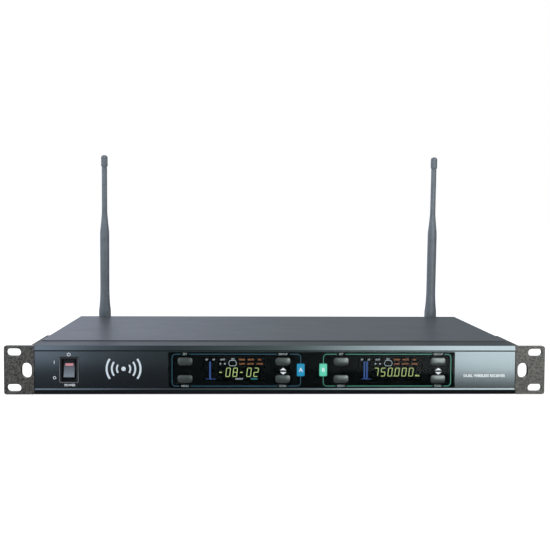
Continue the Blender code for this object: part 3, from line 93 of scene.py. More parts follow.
class Finish:
    """A material's nodes, with a short way to add one and link its inputs."""

    def __init__(self, name):
        self.material = bpy.data.materials.new(name)
        self.material.use_nodes = True
        self.tree = self.material.node_tree
        self.shader = self.tree.nodes["Principled BSDF"]

    def add(self, kind, inputs=None, **settings):
        made = self.tree.nodes.new("ShaderNode" + kind)
        for key, value in settings.items():
            setattr(made, key, value)
        for key, value in (inputs or {}).items():
            self.feed(made.inputs[key], value)
        return made

    def feed(self, socket, value):
        if isinstance(value, bpy.types.NodeSocket):
            self.tree.links.new(value, socket)
        else:
            socket.default_value = value

    def set(self, **values):
        for key, value in values.items():
            self.feed(self.shader.inputs[key.replace("_", " ")], value)

    def place(self):
        return self.add("TexCoord").outputs["Object"]

    def noise(self, vector, scale, detail=3.0, roughness=0.55):
        inputs = {"Vector": vector, "Scale": scale, "Detail": detail, "Roughness": roughness}
        return self.add("TexNoise", inputs).outputs[0]

    def ramp(self, factor, *stops):
        made = self.add("ValToRGB", {"Fac": factor})
        elements = made.color_ramp.elements
        while len(elements) < len(stops):
            elements.new(0.5)
        for element, (position, colour) in zip(elements, stops):
            element.position = position
            element.color = (*colour, 1.0)
        return made.outputs[0]

    def spread(self, factor, low, high, start=0.0, end=1.0):
        """Takes start to end evenly to low to high."""
        inputs = {"Value": factor, "From Min": start, "From Max": end, "To Min": low, "To Max": high}
        return self.add("MapRange", inputs).outputs[0]

    def mix(self, factor, first, second):
        made = self.add("Mix", {}, data_type="RGBA")
        self.feed(made.inputs[0], factor)
        self.feed(made.inputs[6], first)
        self.feed(made.inputs[7], second)
        return made.outputs[2]

    def edges(self, radius):
        """Near 1 on sharp edges and 0 on flats, for wear and a painted edge highlight."""
        rounded = self.add("Bevel", {"Radius": radius}, samples=4).outputs[0]
        flat = self.add("NewGeometry").outputs["Normal"]
        dot = self.add("VectorMath", {0: rounded, 1: flat}, operation="DOT_PRODUCT").outputs["Value"]
        return self.spread(dot, 0.0, 1.0, 0.995, 0.9)

    def bump(self, height, distance):
        made = self.add("Bump", {"Height": height, "Distance": distance, "Strength": 1.0})
        self.set(Normal=made.outputs[0])


def shade(colour, factor):
    return tuple(min(1.0, c * factor) for c in colour)


def surface(
    name, colour, roughness, metallic=0.0, mottle=0.12, mottle_scale=30.0, grain=0.00002,
    grain_scale=1200.0, stretch=(1.0, 1.0, 1.0), polish=0.06, edge_wear_and_highlight=None, edge=0.0004, **extra,
):
    """Mottled colour, uneven polish and a fine grain; an optional edge colour is mixed onto sharp edges,
    partly wear and partly a painted highlight.
    """
    made = Finish(name)
    place = made.place()
    place = made.add("Mapping", {"Vector": place, "Scale": stretch}).outputs[0]
    broad = made.noise(place, mottle_scale, 4.0)
    fine = made.noise(place, grain_scale, 2.0)
    tone = made.ramp(broad, (0.3, shade(colour, 1 - mottle)), (0.7, shade(colour, 1 + mottle)))
    # Lighter sharp edges: partly bare wear, partly a painted highlight where edges would catch light.
    if edge_wear_and_highlight:
        patchy = made.spread(fine, 0.2, 1.0)
        wear = made.add("Math", {0: made.edges(edge), 1: patchy}, operation="MULTIPLY").outputs[0]
        tone = made.mix(wear, tone, (*edge_wear_and_highlight, 1.0))
    rough = made.spread(broad, max(0.02, roughness - polish), min(1.0, roughness + polish))
    made.set(Base_Color=tone, Roughness=rough, Metallic=metallic, **extra)
    made.bump(fine, grain)
    return made


def ear_casting():
    """A coarse speckled casting, with a painted highlight along its top near the front and painted shade on
    its side walls.
    """
    made = surface("ear_casting", (0.055, 0.053, 0.047), 0.6, 0.1, grain=0.0002, grain_scale=1100.0)
    place = made.place()
    speck = made.noise(place, 650.0, 2.0, 0.7)
    tone = made.ramp(speck, (0.36, (0.022, 0.021, 0.018)), (0.64, (0.12, 0.117, 0.104)))
    normal = made.add("SeparateXYZ", {0: made.add("NewGeometry").outputs["Normal"]}).outputs
    # Painted shade: faces turned sideways, such as the slot walls and ends, are darkened.
    side = made.add("Math", {0: normal[0]}, operation="ABSOLUTE").outputs[0]
    side = made.spread(side, 0.0, 0.7, 0.5, 0.9)
    # Painted highlight: faces turned up, near the front face only, are lightened.
    top = made.spread(normal[2], 0.0, 1.0, 0.3, 0.8)
    depth = made.add("SeparateXYZ", {0: place}).outputs[1]
    front = made.spread(depth, 0.0, 1.0, -0.1305, -0.1315)
    top = made.add("Math", {0: top, 1: front}, operation="MULTIPLY").outputs[0]
    tone = made.mix(side, tone, (0.012, 0.012, 0.011, 1.0))
    made.set(Base_Color=made.mix(top, tone, (0.3, 0.3, 0.28, 1.0)))
    return made.material


def rocker_plastic():
    """Grey plastic with painted light and shade: lighter at its lower end, darkening toward the end that is
    pressed into its well.
    """
    made = surface("rocker_plastic", (0.16, 0.185, 0.215), 0.35, mottle=0.1, Coat_Weight=0.3)
    place = made.place()
    height = made.add("SeparateXYZ", {0: place}).outputs[2]
    share = made.spread(height, 0.0, 1.0, -0.0085, 0.0085)
    # Painted light and shade by height: a lit lower end, fading to painted shade at the upper end.
    stops = ((0.0, (0.2, 0.24, 0.28)), (0.62, (0.1, 0.118, 0.14)), (0.8, (0.012, 0.014, 0.017)))
    made.set(Base_Color=made.ramp(share, *stops))
    return made.material


def plated_metal(name="plated_metal", colour=(0.66, 0.65, 0.62), roughness=0.24):
    return surface(
        name, colour, roughness, 1.0, mottle=0.06, mottle_scale=160.0, grain=0.000006, grain_scale=3000.0
    ).material


def smoked_lens():
    made = Finish("smoked_lens")
    place = made.place()
    haze = made.noise(place, 60.0)
    made.set(
        Base_Color=made.ramp(haze, (0.3, (0.20, 0.235, 0.24)), (0.7, (0.22, 0.255, 0.26))),
        Roughness=made.spread(haze, 0.03, 0.06),
    )
    made.set(Transmission_Weight=1.0, IOR=1.16)
    return made.material


def tab_plastic(channel, colour, painted_glow):
    made = surface("tab_" + channel, colour, 0.25, mottle=0.06, grain=0.000004, Coat_Weight=0.3)
    place = made.add("TexCoord").outputs["Generated"]
    middle = made.add("VectorMath", {0: place, 1: (0.5, 0.5, 0.5)}, operation="DISTANCE").outputs["Value"]
    # Painted glow: the tab glows, brightest in its middle, though no lamp lights it.
    made.set(
        Emission_Color=made.ramp(middle, (0.0, shade(colour, 1.7)), (0.68, shade(colour, 0.25))),
        Emission_Strength=painted_glow,
    )
    return made.material


def lamp_ink(name, colour, strength):
    """Light from a display's lit figures, a little uneven as phosphor is."""
    made = Finish(name)
    place = made.place()
    made.set(
        Base_Color=(*shade(colour, 0.05), 1.0), Roughness=0.6,
        Emission_Color=made.ramp(made.noise(place, 900.0), (0.3, shade(colour, 0.8)), (0.7, colour)),
        Emission_Strength=strength,
    )
    return made.material


def ink(name, colour, painted_glow=0.0):
    made = surface(name, colour, 0.5, mottle=0.06, mottle_scale=300.0, grain=0.000003)
    # Painted glow: the printed ink glows faintly in its own colour, though print is no lamp.
    if painted_glow:
        made.set(Emission_Color=(*colour, 1.0), Emission_Strength=painted_glow)
    return made.material


def circuit_board():
    """Green lacquer over a grid of tracks."""
    made = surface("circuit_board", (0.012, 0.09, 0.035), 0.35, mottle=0.2, grain=0.00001)
    place = made.place()
    black, white = (0, 0, 0, 1), (1, 1, 1, 1)
    inputs = {"Vector": place, "Scale": 300.0, "Mortar Size": 0.02, "Color1": black, "Color2": white}
    tracks = made.add("TexBrick", inputs).outputs[0]
    made.set(Base_Color=made.mix(tracks, (0.01, 0.07, 0.03, 1), (0.02, 0.13, 0.05, 1)))
    return made.material


def striped(name, first, second, scale, roughness, metallic=0.0):
    """Fine parallel bands, such as a ribbon's wires or a core's laminations."""
    made = surface(name, first, roughness, metallic)
    place = made.place()
    inputs = {"Vector": place, "Scale": scale}
    bands = made.add("TexWave", inputs, bands_direction="X").outputs[1]
    made.set(Base_Color=made.mix(bands, (*first, 1.0), (*second, 1.0)))
    return made.material


# Satin powder coat with a fine orange peel; its lighter edges are partly wear and partly a painted highlight.
PAINT = surface(
    "cover_paint", (0.05, 0.053, 0.06), 0.36, mottle=0.08, grain=0.000012, grain_scale=1600.0,
    edge_wear_and_highlight=(0.11, 0.115, 0.12), edge=0.0003,
).material
# Satin anodised dark silver, drawn along its length; its lighter edges are partly wear and partly a painted
# highlight.
FASCIA = surface(
    "fascia_metal", (0.17, 0.2, 0.213), 0.23, 0.98, mottle=0.06, mottle_scale=90.0, grain=0.000004,
    grain_scale=2600.0, stretch=(0.04, 1.0, 1.0), polish=0.03, edge_wear_and_highlight=(0.3, 0.33, 0.35), edge=0.00025,
).material
# The duller faces along the front panel's top and underside, their colour darkened below the cover's paint as
# painted shade.
STRIP_SHADE = surface(
    "strip_paint_shaded", (0.012, 0.0135, 0.0145), 0.4, mottle=0.08, grain=0.00001, grain_scale=1800.0
).material
CASTING = ear_casting()
BLACK = surface("moulded_black", (0.018, 0.018, 0.02), 0.42, mottle=0.2, grain_scale=1800.0).material
KEYS = surface(
    "key_plastic", (0.13, 0.15, 0.145), 0.34, 0.7, mottle=0.1, grain=0.00001, grain_scale=2200.0,
    Coat_Weight=0.3,
).material
RUBBER = surface(
    "antenna_rubber", (0.155, 0.18, 0.205), 0.5, mottle=0.15, mottle_scale=120.0, grain=0.00003,
    grain_scale=1500.0,
).material
PLATED = plated_metal()
GOLD = plated_metal("gold_plate", (0.83, 0.6, 0.24), 0.2)
SCREW = plated_metal("screw_steel", (0.1, 0.1, 0.11), 0.32)
TIN = plated_metal("shield_tin", (0.6, 0.6, 0.6), 0.35)
LENS = smoked_lens()
TUBE = surface("tube_glass", (0.01, 0.013, 0.012), 0.2, mottle=0.3, grain=0.000002).material
MASK = surface("mask_black", (0.026, 0.034, 0.034), 0.5, mottle=0.3, grain=0.000004).material
# The inks given a last number glow faintly: painted glow on print.
WHITE_INK = ink("white_ink", (0.72, 0.76, 0.78), 0.15)
LABEL_INK = ink("label_ink", (0.34, 0.4, 0.4))
MARK_INK = ink("mark_ink", (0.6, 0.68, 0.74), 0.12)
TEAL_INK = ink("teal_ink", (0.02, 0.1, 0.15), 0.14)
GREEN_INK = ink("green_ink", (0.05, 0.27, 0.19), 0.16)
ROCKER = rocker_plastic()
ROCKER_LAMP = lamp_ink("rocker_lamp", (0.72, 0.3, 0.35), 0.85)
DIGITS = lamp_ink("digit_light", (0.72, 0.8, 0.3), 3.4)
BAR_LIGHT = lamp_ink("bar_light", (0.12, 0.24, 0.7), 1.5)
WHITE_LIGHT = lamp_ink("white_light", (0.7, 0.72, 0.76), 2.4)
ORANGE_LIGHT = lamp_ink("orange_light", (0.8, 0.3, 0.14), 1.9)
TEAL_LIGHT = lamp_ink("teal_light", (0.1, 0.6, 0.65), 1.6)
# Both tabs carry a painted glow.
TAB = {
    "a": tab_plastic("a", (0.004, 0.26, 0.46), 0.35),
    "b": tab_plastic("b", (0.1, 0.62, 0.42), 0.35),
}

NODE_FINISH = (
    ("top_cover", PAINT),
    ("chassis_tray", PAINT),
    ("rear_panel", PAINT),
    ("front_panel", FASCIA),
    ("rack_ear_", CASTING),
    ("display_window", LENS),
    ("display_tube_", TUBE),
    ("channel_tab_a", TAB["a"]),
    ("channel_tab_b", TAB["b"]),
    ("power_switch_housing", BLACK),
    ("antenna_elbow_", RUBBER),
    ("antenna_pin_", PLATED),
    ("level_switch_", PLATED),
    ("mains_fuse", PLATED),
    ("rf_shield_", TIN),
    ("display_board", circuit_board()),
    ("main_board", bpy.data.materials["circuit_board"]),
    ("power_supply_board", bpy.data.materials["circuit_board"]),
    ("mains_transformer", striped("laminations", (0.1, 0.1, 0.11), (0.2, 0.2, 0.21), 1600, 0.4, 0.8)),
    ("ribbon_cable", striped("ribbon", (0.35, 0.35, 0.36), (0.5, 0.5, 0.5), 500, 0.5)),
    ("", BLACK),
)


# Shapes


def link(name, data):
    made = bpy.data.objects.new(name, data)
    bpy.context.scene.collection.objects.link(made)
    return made


def finished(name, shape, finish, body=ROOT, angle=35, place=None):
    """A mesh piece from a bmesh, its points in millimetres about place, riding on a body."""
    mesh = bpy.data.meshes.new(name)
    bmesh.ops.scale(shape, vec=(MM, MM, MM), verts=shape.verts)
    bmesh.ops.recalc_face_normals(shape, faces=shape.faces)
    shape.to_mesh(mesh)
    shape.free()
    mesh.materials.append(finish)
    mesh.shade_smooth()
    mesh.set_sharp_from_angle(angle=math.radians(angle))
    made = link(name, mesh)
    if place is not None:
        made.matrix_world = place
    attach(made, body)
    return made


def at(x, y, z, rotation=None):
    turn = rotation.to_4x4() if rotation else Matrix.Identity(4)
    return Matrix.Translation(Vector((x, y, z)) * MM) @ turn


def loft(shape, rings, capped=True):
    """Skins rings of points that have the same number of points."""
    loops = [[shape.verts.new(p) for p in ring] for ring in rings]
    for first, second in zip(loops, loops[1:]):
        for i in range(len(first)):
            j = (i + 1) % len(first)
            shape.faces.new((first[i], first[j], second[j], second[i]))
    if capped:
        shape.faces.new(loops[0])
        shape.faces.new(loops[-1])
    return shape


def rounded(width, height, radius, steps=6):
    """Points of a rounded rectangle about (0, 0)."""
    radius = min(radius, width / 2 - 0.001, height / 2 - 0.001)
    points = []
    for quarter, (sx, sz) in enumerate(((1, 1), (-1, 1), (-1, -1), (1, -1))):
        for step in range(steps + 1):
            angle = math.pi / 2 * (quarter + step / steps)
            across = sx * (width / 2 - radius) + radius * math.cos(angle)
            points.append((across, sz * (height / 2 - radius) + radius * math.sin(angle)))
    return points


def ring_at(outline, x, y, z):
    return [(x + a, y, z + b) for a, b in outline]


def plate(shape, outline, low_y, high_y):
    """A flat outline of (x, z) points, solid between two depths."""
    loft(shape, [[(a, low_y, b) for a, b in outline], [(a, high_y, b) for a, b in outline]])


SQUARE = ((1, 1), (-1, 1), (-1, -1), (1, -1))


def block(shape, x, z, width, height, low_y, high_y, radius=0.0):
    outline = [(a * width / 2, b * height / 2) for a, b in SQUARE]
    if radius:
        outline = rounded(width, height, radius, 3)
    plate(shape, moved(outline, x, z), low_y, high_y)


def stroke(shape, points, width, low_y, high_y):
    """A line of even width through (x, z) points."""
    sides = ([], [])
    for i, point in enumerate(points):
        before = Vector(points[max(i - 1, 0)])
        after = Vector(points[min(i + 1, len(points) - 1)])
        across = (after - before).normalized().orthogonal() * width / 2
        sides[0].append(tuple(Vector(point) + across))
        sides[1].append(tuple(Vector(point) - across))
    plate(shape, sides[0] + sides[1][::-1], low_y, high_y)


def arc(x, z, radius, start, end, steps=10):
    points = []
    for step in range(steps + 1):
        angle = math.radians(start + (end - start) * step / steps)
        points.append((x + radius * math.cos(angle), z + radius * math.sin(angle)))
    return points


def lathe(shape, profile, steps=48, closed=False, ripple=None):
    """(radius, height) points turned about Z; ripple(angle, radius) shifts the radius."""
    rings = []
    for radius, height in profile:
        ring = []
        for step in range(steps):
            angle = 2 * math.pi * step / steps
            r = max(radius, 0.001)
            if ripple:
                r += ripple(angle, radius)
            ring.append((r * math.cos(angle), r * math.sin(angle), height))
        rings.append(ring)
    if closed:
        rings.append(rings[0])
    loft(shape, rings, capped=not closed)
    bmesh.ops.remove_doubles(shape, verts=shape.verts, dist=0.002)
    return shape


UPRIGHT = Matrix.Rotation(math.pi / 2, 3, "X")


def letters(name, words, x, z, height, finish, y, bold, rear=False):
    """Flat raised lettering, facing the front or the rear."""
    curve = bpy.data.curves.new(name, "FONT")
    curve.body = words
    curve.size = height / 0.72 * MM
    curve.align_x = curve.align_y = "CENTER"
    curve.extrude = INK * MM
    curve.offset = bold * MM
    curve.resolution_u = 3
    turn = Matrix.Rotation(math.pi, 3, "Z") @ UPRIGHT if rear else UPRIGHT
    return from_curve(curve, name, finish, at(x, y, z, turn))


def from_curve(curve, name, finish, place):
    """A mesh piece from a filled curve."""
    guide = link(name + "_guide", curve)
    bpy.context.view_layer.update()
    mesh = bpy.data.meshes.new_from_object(guide.evaluated_get(bpy.context.evaluated_depsgraph_get()))
    bpy.data.objects.remove(guide)
    mesh.materials.clear()
    mesh.materials.append(finish)
    mesh.name = name
    made = link(name, mesh)
    made.matrix_world = place
    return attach(made, ROOT)


def cutout(name, outline, holes, low_y, high_y, finish, soft=0.0):
    """A plate facing the front, with holes right through it and softened edges."""
    curve = bpy.data.curves.new(name, "CURVE")
    curve.dimensions = "2D"
    curve.fill_mode = "BOTH"
    curve.extrude = ((high_y - low_y) / 2 - soft) * MM
    curve.bevel_depth = soft * MM
    curve.bevel_resolution = 1
    curve.offset = -soft * MM
    for number, points in enumerate([outline, *holes]):
        spline = curve.splines.new("POLY")
        spline.points.add(len(points) - 1)
        for point, (a, b) in zip(spline.points, points if number == 0 else points[::-1]):
            point.co = (a * MM, b * MM, 0, 1)
        spline.use_cyclic_u = True
    made = from_curve(curve, name, finish, at(0, (low_y + high_y) / 2, 0, UPRIGHT))
    shape = bmesh.new()
    shape.from_mesh(made.data)
    bmesh.ops.remove_doubles(shape, verts=shape.verts, dist=0.000002)
    bmesh.ops.recalc_face_normals(shape, faces=shape.faces)
    shape.to_mesh(made.data)
    shape.free()
    made.data.set_sharp_from_angle(angle=math.radians(20))
    return made


def moved(outline, x, z):
    return [(x + a, z + b) for a, b in outline]


def fillet(points, radii, steps=5):
    """A closed outline with its corners rounded; a radius of 0 keeps a corner sharp."""
    made = []
    for i, (point, radius) in enumerate(zip(points, radii)):
        corner = Vector(point)
        if not radius:
            made.append(tuple(corner))
            continue
        before = (Vector(points[i - 1]) - corner).normalized()
        after = (Vector(points[(i + 1) % len(points)]) - corner).normalized()
        half = before.angle(after) / 2
        middle = corner + (before + after).normalized() * radius / math.sin(half)
        first = corner + before * radius / math.tan(half) - middle
        last = corner + after * radius / math.tan(half) - middle
        for step in range(steps + 1):
            between = first.lerp(last, step / steps).normalized() * radius
            made.append(tuple(middle + between))
    return made


def bevel(obj, width):
    made = obj.modifiers.new("edges", "BEVEL")
    made.width = width * MM
    made.segments = 2
    made.limit_method = "ANGLE"
    made.angle_limit = math.radians(35)
    made.harden_normals = True


def crisp(obj, width):
    """Softens a frame node's edges without touching its own mesh."""
    weld = obj.modifiers.new("weld", "WELD")
    weld.merge_threshold = 0.00001
    flat = obj.modifiers.new("flat", "DECIMATE")
    flat.decimate_type = "DISSOLVE"
    flat.angle_limit = math.radians(0.5)
    bevel(obj, width)


# Frame nodes


EDGE_WIDTH = (
    ("top_cover", 0.35),
    ("rack_ear_", 0.45),
    ("power_switch_housing", 0.25),
    ("rear_panel", 0.2),
    ("chassis_tray", 0.2),
    ("channel_tab_", 0.3),
    ("xlr_output_", 0.35),
    ("mains_inlet", 0.35),
    ("fuse_drawer", 0.3),
    ("data_port", 0.2),
    ("level_slider_", 0.2),
    ("jack_output_", 0.2),
)


def first_match(name, table, otherwise=None):
    return next((value for start, value in table if name.startswith(start)), otherwise)


def dress_nodes():
    for name, obj in frame["nodes"].items():
        obj.data.materials.clear()
        obj.data.materials.append(first_match(name, NODE_FINISH))
        if "custom_normal" in obj.data.attributes:
            obj.data.attributes.remove(obj.data.attributes["custom_normal"])
        obj.data.shade_smooth()
        obj.data.set_sharp_from_angle(angle=math.radians(35))
        width = first_match(name, EDGE_WIDTH)
        if width:
            crisp(obj, width)


# Front panel


BAND = 4.2
BAND_SETBACK = 1.5
FIELD_EDGE = 5.4
FIELD_DEPTH = 1.0
PLATE_BACK = 4.5
LEDGE_DEPTH = 2.8
FLANGE = 2.3
WINDOW_GAP = 0.3
WINDOW_LEDGE = 3.0


def panel_section(top):
    """The band, its chamfer and the flange behind it as (y, z) points, for the top or the bottom."""
    front, back, height = PANEL_LOW.y, PANEL_HIGH.y, PANEL_HIGH.z
    points = [
        (front + BAND_SETBACK, height), (back, height), (back, height - FLANGE),
        (front + PLATE_BACK, height - FLANGE), (front + PLATE_BACK, height - FIELD_EDGE),
        (front + FIELD_DEPTH, height - FIELD_EDGE), (front, height - BAND),
    ]
    made = fillet(points, (0.6, 0.35, 0.35, 0, 0, 0, 0.3))
    return made if top else [(y, height - z) for y, z in made]


def make_fascia():
    """The front panel in fine form: two rounded bands with their flanges, and the field between."""
    low_x, high_x = PANEL_LOW.x, PANEL_HIGH.x
    for name, top in (("fascia_top", True), ("fascia_bottom", False)):
        section = panel_section(top)
        shape = loft(bmesh.new(), [[(x, y, z) for y, z in section] for x in (low_x, high_x)])
        piece = finished(name, shape, FASCIA, angle=30)
        piece.data.materials.append(STRIP_SHADE)
        for face in piece.data.polygons:
            # Flat top and underside faces take the darker strip finish: painted shade.
            face.material_index = int(abs(face.normal.z) > 0.95)
        piece.modifiers.new("normals", "WEIGHTED_NORMAL").keep_sharp = True
        if top:
            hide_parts("front_panel")
    switch = centre("power_switch_housing")
    switch_low, switch_high = extent("power_switch_housing")
    opening = (switch_high.x - switch_low.x - 2.0, switch_high.z - switch_low.z - 2.0)
    opening = moved(rounded(*opening, 0.8, 3), switch.x, switch.z)
    field = [
        (high_x, PANEL_HIGH.z - FIELD_EDGE), (low_x, PANEL_HIGH.z - FIELD_EDGE), (low_x, FIELD_EDGE),
        (high_x, FIELD_EDGE),
    ]
    recess = window_outline(WINDOW_GAP)
    aperture = window_outline(WINDOW_GAP - WINDOW_LEDGE, 1.0)
    front = PANEL_LOW.y
    layers = (
        ("fascia_field", recess, FIELD_DEPTH, LEDGE_DEPTH),
        ("fascia_ledge", aperture, LEDGE_DEPTH, PLATE_BACK),
    )
    for name, hole, near, far in layers:
        cutout(name, field, (hole, opening), front + near, front + far, FASCIA)


def window_outline(spare, corner=0.8):
    """The window's outline, larger all round by spare."""
    size = WINDOW_HIGH - WINDOW_LOW
    outline = rounded(size.x + 2 * spare, size.z + 2 * spare, corner, 3)
    return moved(outline, WINDOW_MIDDLE.x, WINDOW_MIDDLE.z)


def make_window():
    """The smoked window, open round its keys and tabs, with polished edges."""
    outline = window_outline(0.0)
    window = cutout("smoked_window", outline, window_holes(0.3), WINDOW_LOW.y, WINDOW_HIGH.y, LENS, soft=0.12)
    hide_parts("display_window")


def window_holes(gap):
    holes = []
    for name in sorted(frame["nodes"]):
        spot = centre(name)
        if name.startswith("button_"):
            outline = rounded(KEY_WIDTH + 2 * gap, KEY_HEIGHT + 2 * gap, KEY_CORNER + gap)
            holes.append(moved(outline, spot.x, spot.z))
        if name.startswith("channel_tab_"):
            outline = rounded(TAB_WIDTH + 2 * gap, TAB_HEIGHT + 2 * gap, 1.0, 3)
            holes.append(moved(outline, spot.x, spot.z))
    return holes


# Front panel marks


OUTLINE_HALF_WIDTH = 57.3
OUTLINE_HALF_HEIGHT = 14.3
OUTLINE_CORNER = 3.2
OUTLINE_LINE = 0.55
LEFT_KEYS = {"a": -45.8, "b": -41.4}
RIGHT_KEYS = {"a": 41.4, "b": 45.8}
LABEL_HEIGHT = 1.75
LABELS = (("SET", LEFT_KEYS, 1), ("MENU", LEFT_KEYS, -1), ("GROUP", RIGHT_KEYS, 1), ("SCAN", RIGHT_KEYS, -1))
LABEL_HALF = {"SET": 3.9, "MENU": 5.0, "GROUP": 5.8, "SCAN": 4.9}


def make_channel_outline(channel):
    """A thin printed frame round a channel, open where its four labels stand."""
    middle = CHANNEL_X[channel]
    y = WINDOW_LOW.y
    z = MIDDLE_Z - 0.15
    shape = bmesh.new()
    reach_x = OUTLINE_HALF_WIDTH - OUTLINE_CORNER
    reach_z = OUTLINE_HALF_HEIGHT - OUTLINE_CORNER
    gaps = {}
    for words, keys, level in LABELS:
        gaps.setdefault(level, []).append((keys[channel], LABEL_HALF[words]))
    for level in (1, -1):
        (left, left_half), (right, right_half) = sorted(gaps[level])
        line_z = z + level * OUTLINE_HALF_HEIGHT
        span = ((middle + left + left_half, line_z), (middle + right - right_half, line_z))
        stroke(shape, span, OUTLINE_LINE, y - INK, y)
    for sign, column in ((-1, 0), (1, 1)):
        top_x, top_half = sorted(gaps[1])[column]
        low_x, low_half = sorted(gaps[-1])[column]
        corner_x = middle + sign * reach_x
        points = [(middle + top_x + sign * top_half, z + OUTLINE_HALF_HEIGHT)]
        side = 90 - 90 * sign
        points += arc(corner_x, z + reach_z, OUTLINE_CORNER, 90, side)
        points += arc(corner_x, z - reach_z, OUTLINE_CORNER, side, side - 90 * sign)
        points.append((middle + low_x + sign * low_half, z - OUTLINE_HALF_HEIGHT))
        stroke(shape, points, OUTLINE_LINE, y - INK, y)
    finished("outline_" + channel, shape, TEAL_INK if channel == "a" else GREEN_INK)
    for words, keys, level in LABELS:
        x = middle + keys[channel]
        letters(
            f"label_{words.lower()}_{channel}", words, x, z + level * OUTLINE_HALF_HEIGHT, LABEL_HEIGHT,
            LABEL_INK, y, bold=0.05,
        )


def make_arrows(channel):
    """Up and down triangles between the right-hand keys."""
    x = CHANNEL_X[channel] + RIGHT_KEYS[channel] + 0.3
    z = MIDDLE_Z - 1.1
    shape = bmesh.new()
    for sign in (1, -1):
        base = z + sign * 0.75
        tip = z + sign * 3.1
        outline = [(x - 2.9, base), (x + 2.9, base), (x, tip)]
        plate(shape, outline, WINDOW_LOW.y - INK, WINDOW_LOW.y)
    finished("arrows_" + channel, shape, WHITE_INK)


def make_tab_letter(channel):
    x = centre("channel_tab_" + channel).x
    y = extent("channel_tab_" + channel)[0].y
    letters("tab_letter_" + channel, channel.upper(), x, MIDDLE_Z, 3.5, WHITE_INK, y, bold=0.1)


MARK_PLACE = (-136.0, 22.9)
MARK_DOT = 4.0
MARK_ARCS = ((6.0, 1.5), (10.4, 1.6), (15.0, 1.7))


def make_mark():
    """A generic radio sign: a dot between widening arcs."""
    x, z = MARK_PLACE
    shape = bmesh.new()
    block(shape, x, z, MARK_DOT, MARK_DOT, FIELD_Y - INK, FIELD_Y, radius=1.99)
    for radius, width in MARK_ARCS:
        for start, end in ((-36, 36), (144, 216)):
            stroke(shape, arc(x, z, radius, start, end, 16), width, FIELD_Y - INK, FIELD_Y)
    finished("radio_mark", shape, MARK_INK)


SWITCH_WORDS = (
    ("power", "POWER", 0.7, 8.3, 2.0, 0.06),
    ("on", "I", -13.0, 28.6, 3.0, 0.05),
    ("off", "O", -12.7, 14.8, 2.6, 0.05),
)


def make_fascia_words():
    letters("words_model", "DUAL WIRELESS RECEIVER", 186.8, 16.6, 2.3, WHITE_INK, FIELD_Y, bold=0.12)
    switch_x = centre("power_switch_housing").x
    for name, words, x, z, height, bold in SWITCH_WORDS:
        letters("words_" + name, words, switch_x + x, z, height, WHITE_INK, FIELD_Y, bold=bold)
    x = switch_x - 0.2
    shape = bmesh.new()
    stroke(shape, arc(x, 35.7, 1.35, 125, 415, 20), 0.45, FIELD_Y - INK, FIELD_Y)
    stroke(shape, ((x, 35.9), (x, 37.4)), 0.45, FIELD_Y - INK, FIELD_Y)
    finished("power_sign", shape, WHITE_INK)


# Displays


SEGMENTS = {"0": "abcdef", "2": "abged", "5": "afgcd", "7": "abc", "8": "abcdefg", "-": "g"}
DIGIT_WIDTH = 4.2
DIGIT_PITCH = 6.3
DASH_PITCH = 6.1
DIGIT_STROKE = 0.72
DIGIT_SLANT = 0.12


def digit(shape, figure, x, z, height, low_y, high_y):
    """One seven-segment figure with its lower left corner at (x, z)."""
    w, h, t = DIGIT_WIDTH, height, DIGIT_STROKE
    half = h / 2
    bars = {
        "a": ((t, h - t / 2), (w - t, h - t / 2)),
        "b": ((w - t / 2, h - t), (w - t / 2, half + t / 3)),
        "c": ((w - t / 2, half - t / 3), (w - t / 2, t)),
        "d": ((t, t / 2), (w - t, t / 2)),
        "e": ((t / 2, t), (t / 2, half - t / 3)),
        "f": ((t / 2, half + t / 3), (t / 2, h - t)),
        "g": ((t, half), (w - t, half)),
    }
    for segment in SEGMENTS[figure]:
        (x0, z0), (x1, z1) = bars[segment]
        along = (Vector((x1, z1)) - Vector((x0, z0))).normalized() * t * 0.42
        across = Vector((-along.y, along.x))
        first, last = Vector((x0, z0)), Vector((x1, z1))
        outline = [first - along, first + across, last + across, last + along, last - across, first - across]
        slanted = [(x + p.x + DIGIT_SLANT * p.y, z + p.y) for p in outline]
        plate(shape, slanted, low_y, high_y)


FIGURES = {"a": ("-08-02", -14.1, 15.2, 8.3), "b": ("750000", -14.2, 15.6, 7.9)}
METERS = {"a": (-21.5,), "b": (-22.2, -19.9)}
SCALE_X = {"a": -21.0, "b": -20.5}
SCALE_Z = 13.3
SIGNS_X = {"a": -10.3, "b": -10.2}
HOUSE_X = {"a": -1.4, "b": -0.7}
HOUSE = ((-3.6, 0), (-2.4, 2.6), (2.4, 2.6), (3.6, 0), (2.6, -2.2), (-2.6, -2.2), (-3.6, 0))
UPPER_Z = 30.7
LOWER_Z = 26.9
SIGN_HEIGHT = 1.5
SIGNS = (
    ("rf", "RF", -14.2, UPPER_Z, WHITE_LIGHT),
    ("af", "AF", -8.0, UPPER_Z, WHITE_LIGHT),
    ("ant", "ANT", 0.0, UPPER_Z, WHITE_LIGHT),
    ("rx", "RX", 9.2, UPPER_Z + 0.6, WHITE_LIGHT),
    ("tone", "TONE", 17.0, UPPER_Z, ORANGE_LIGHT),
    ("mute", "MUTE", 25.2, UPPER_Z, ORANGE_LIGHT),
    ("ok", "OK", 33.0, UPPER_Z, ORANGE_LIGHT),
    ("low", "LOW", 17.4, LOWER_Z, ORANGE_LIGHT),
    ("auto", "AUTO", 25.0, LOWER_Z, ORANGE_LIGHT),
    ("lock", "LOCK", 33.2, LOWER_Z, ORANGE_LIGHT),
)
OWN_SIGNS = {
    "a": (("group", "GROUP", 4.6, 13.4, WHITE_LIGHT), ("channel", "CHAN", 17.8, 13.4, TEAL_LIGHT)),
    "b": (("mhz", "MHz", 25.6, 16.3, DIGITS),),
}


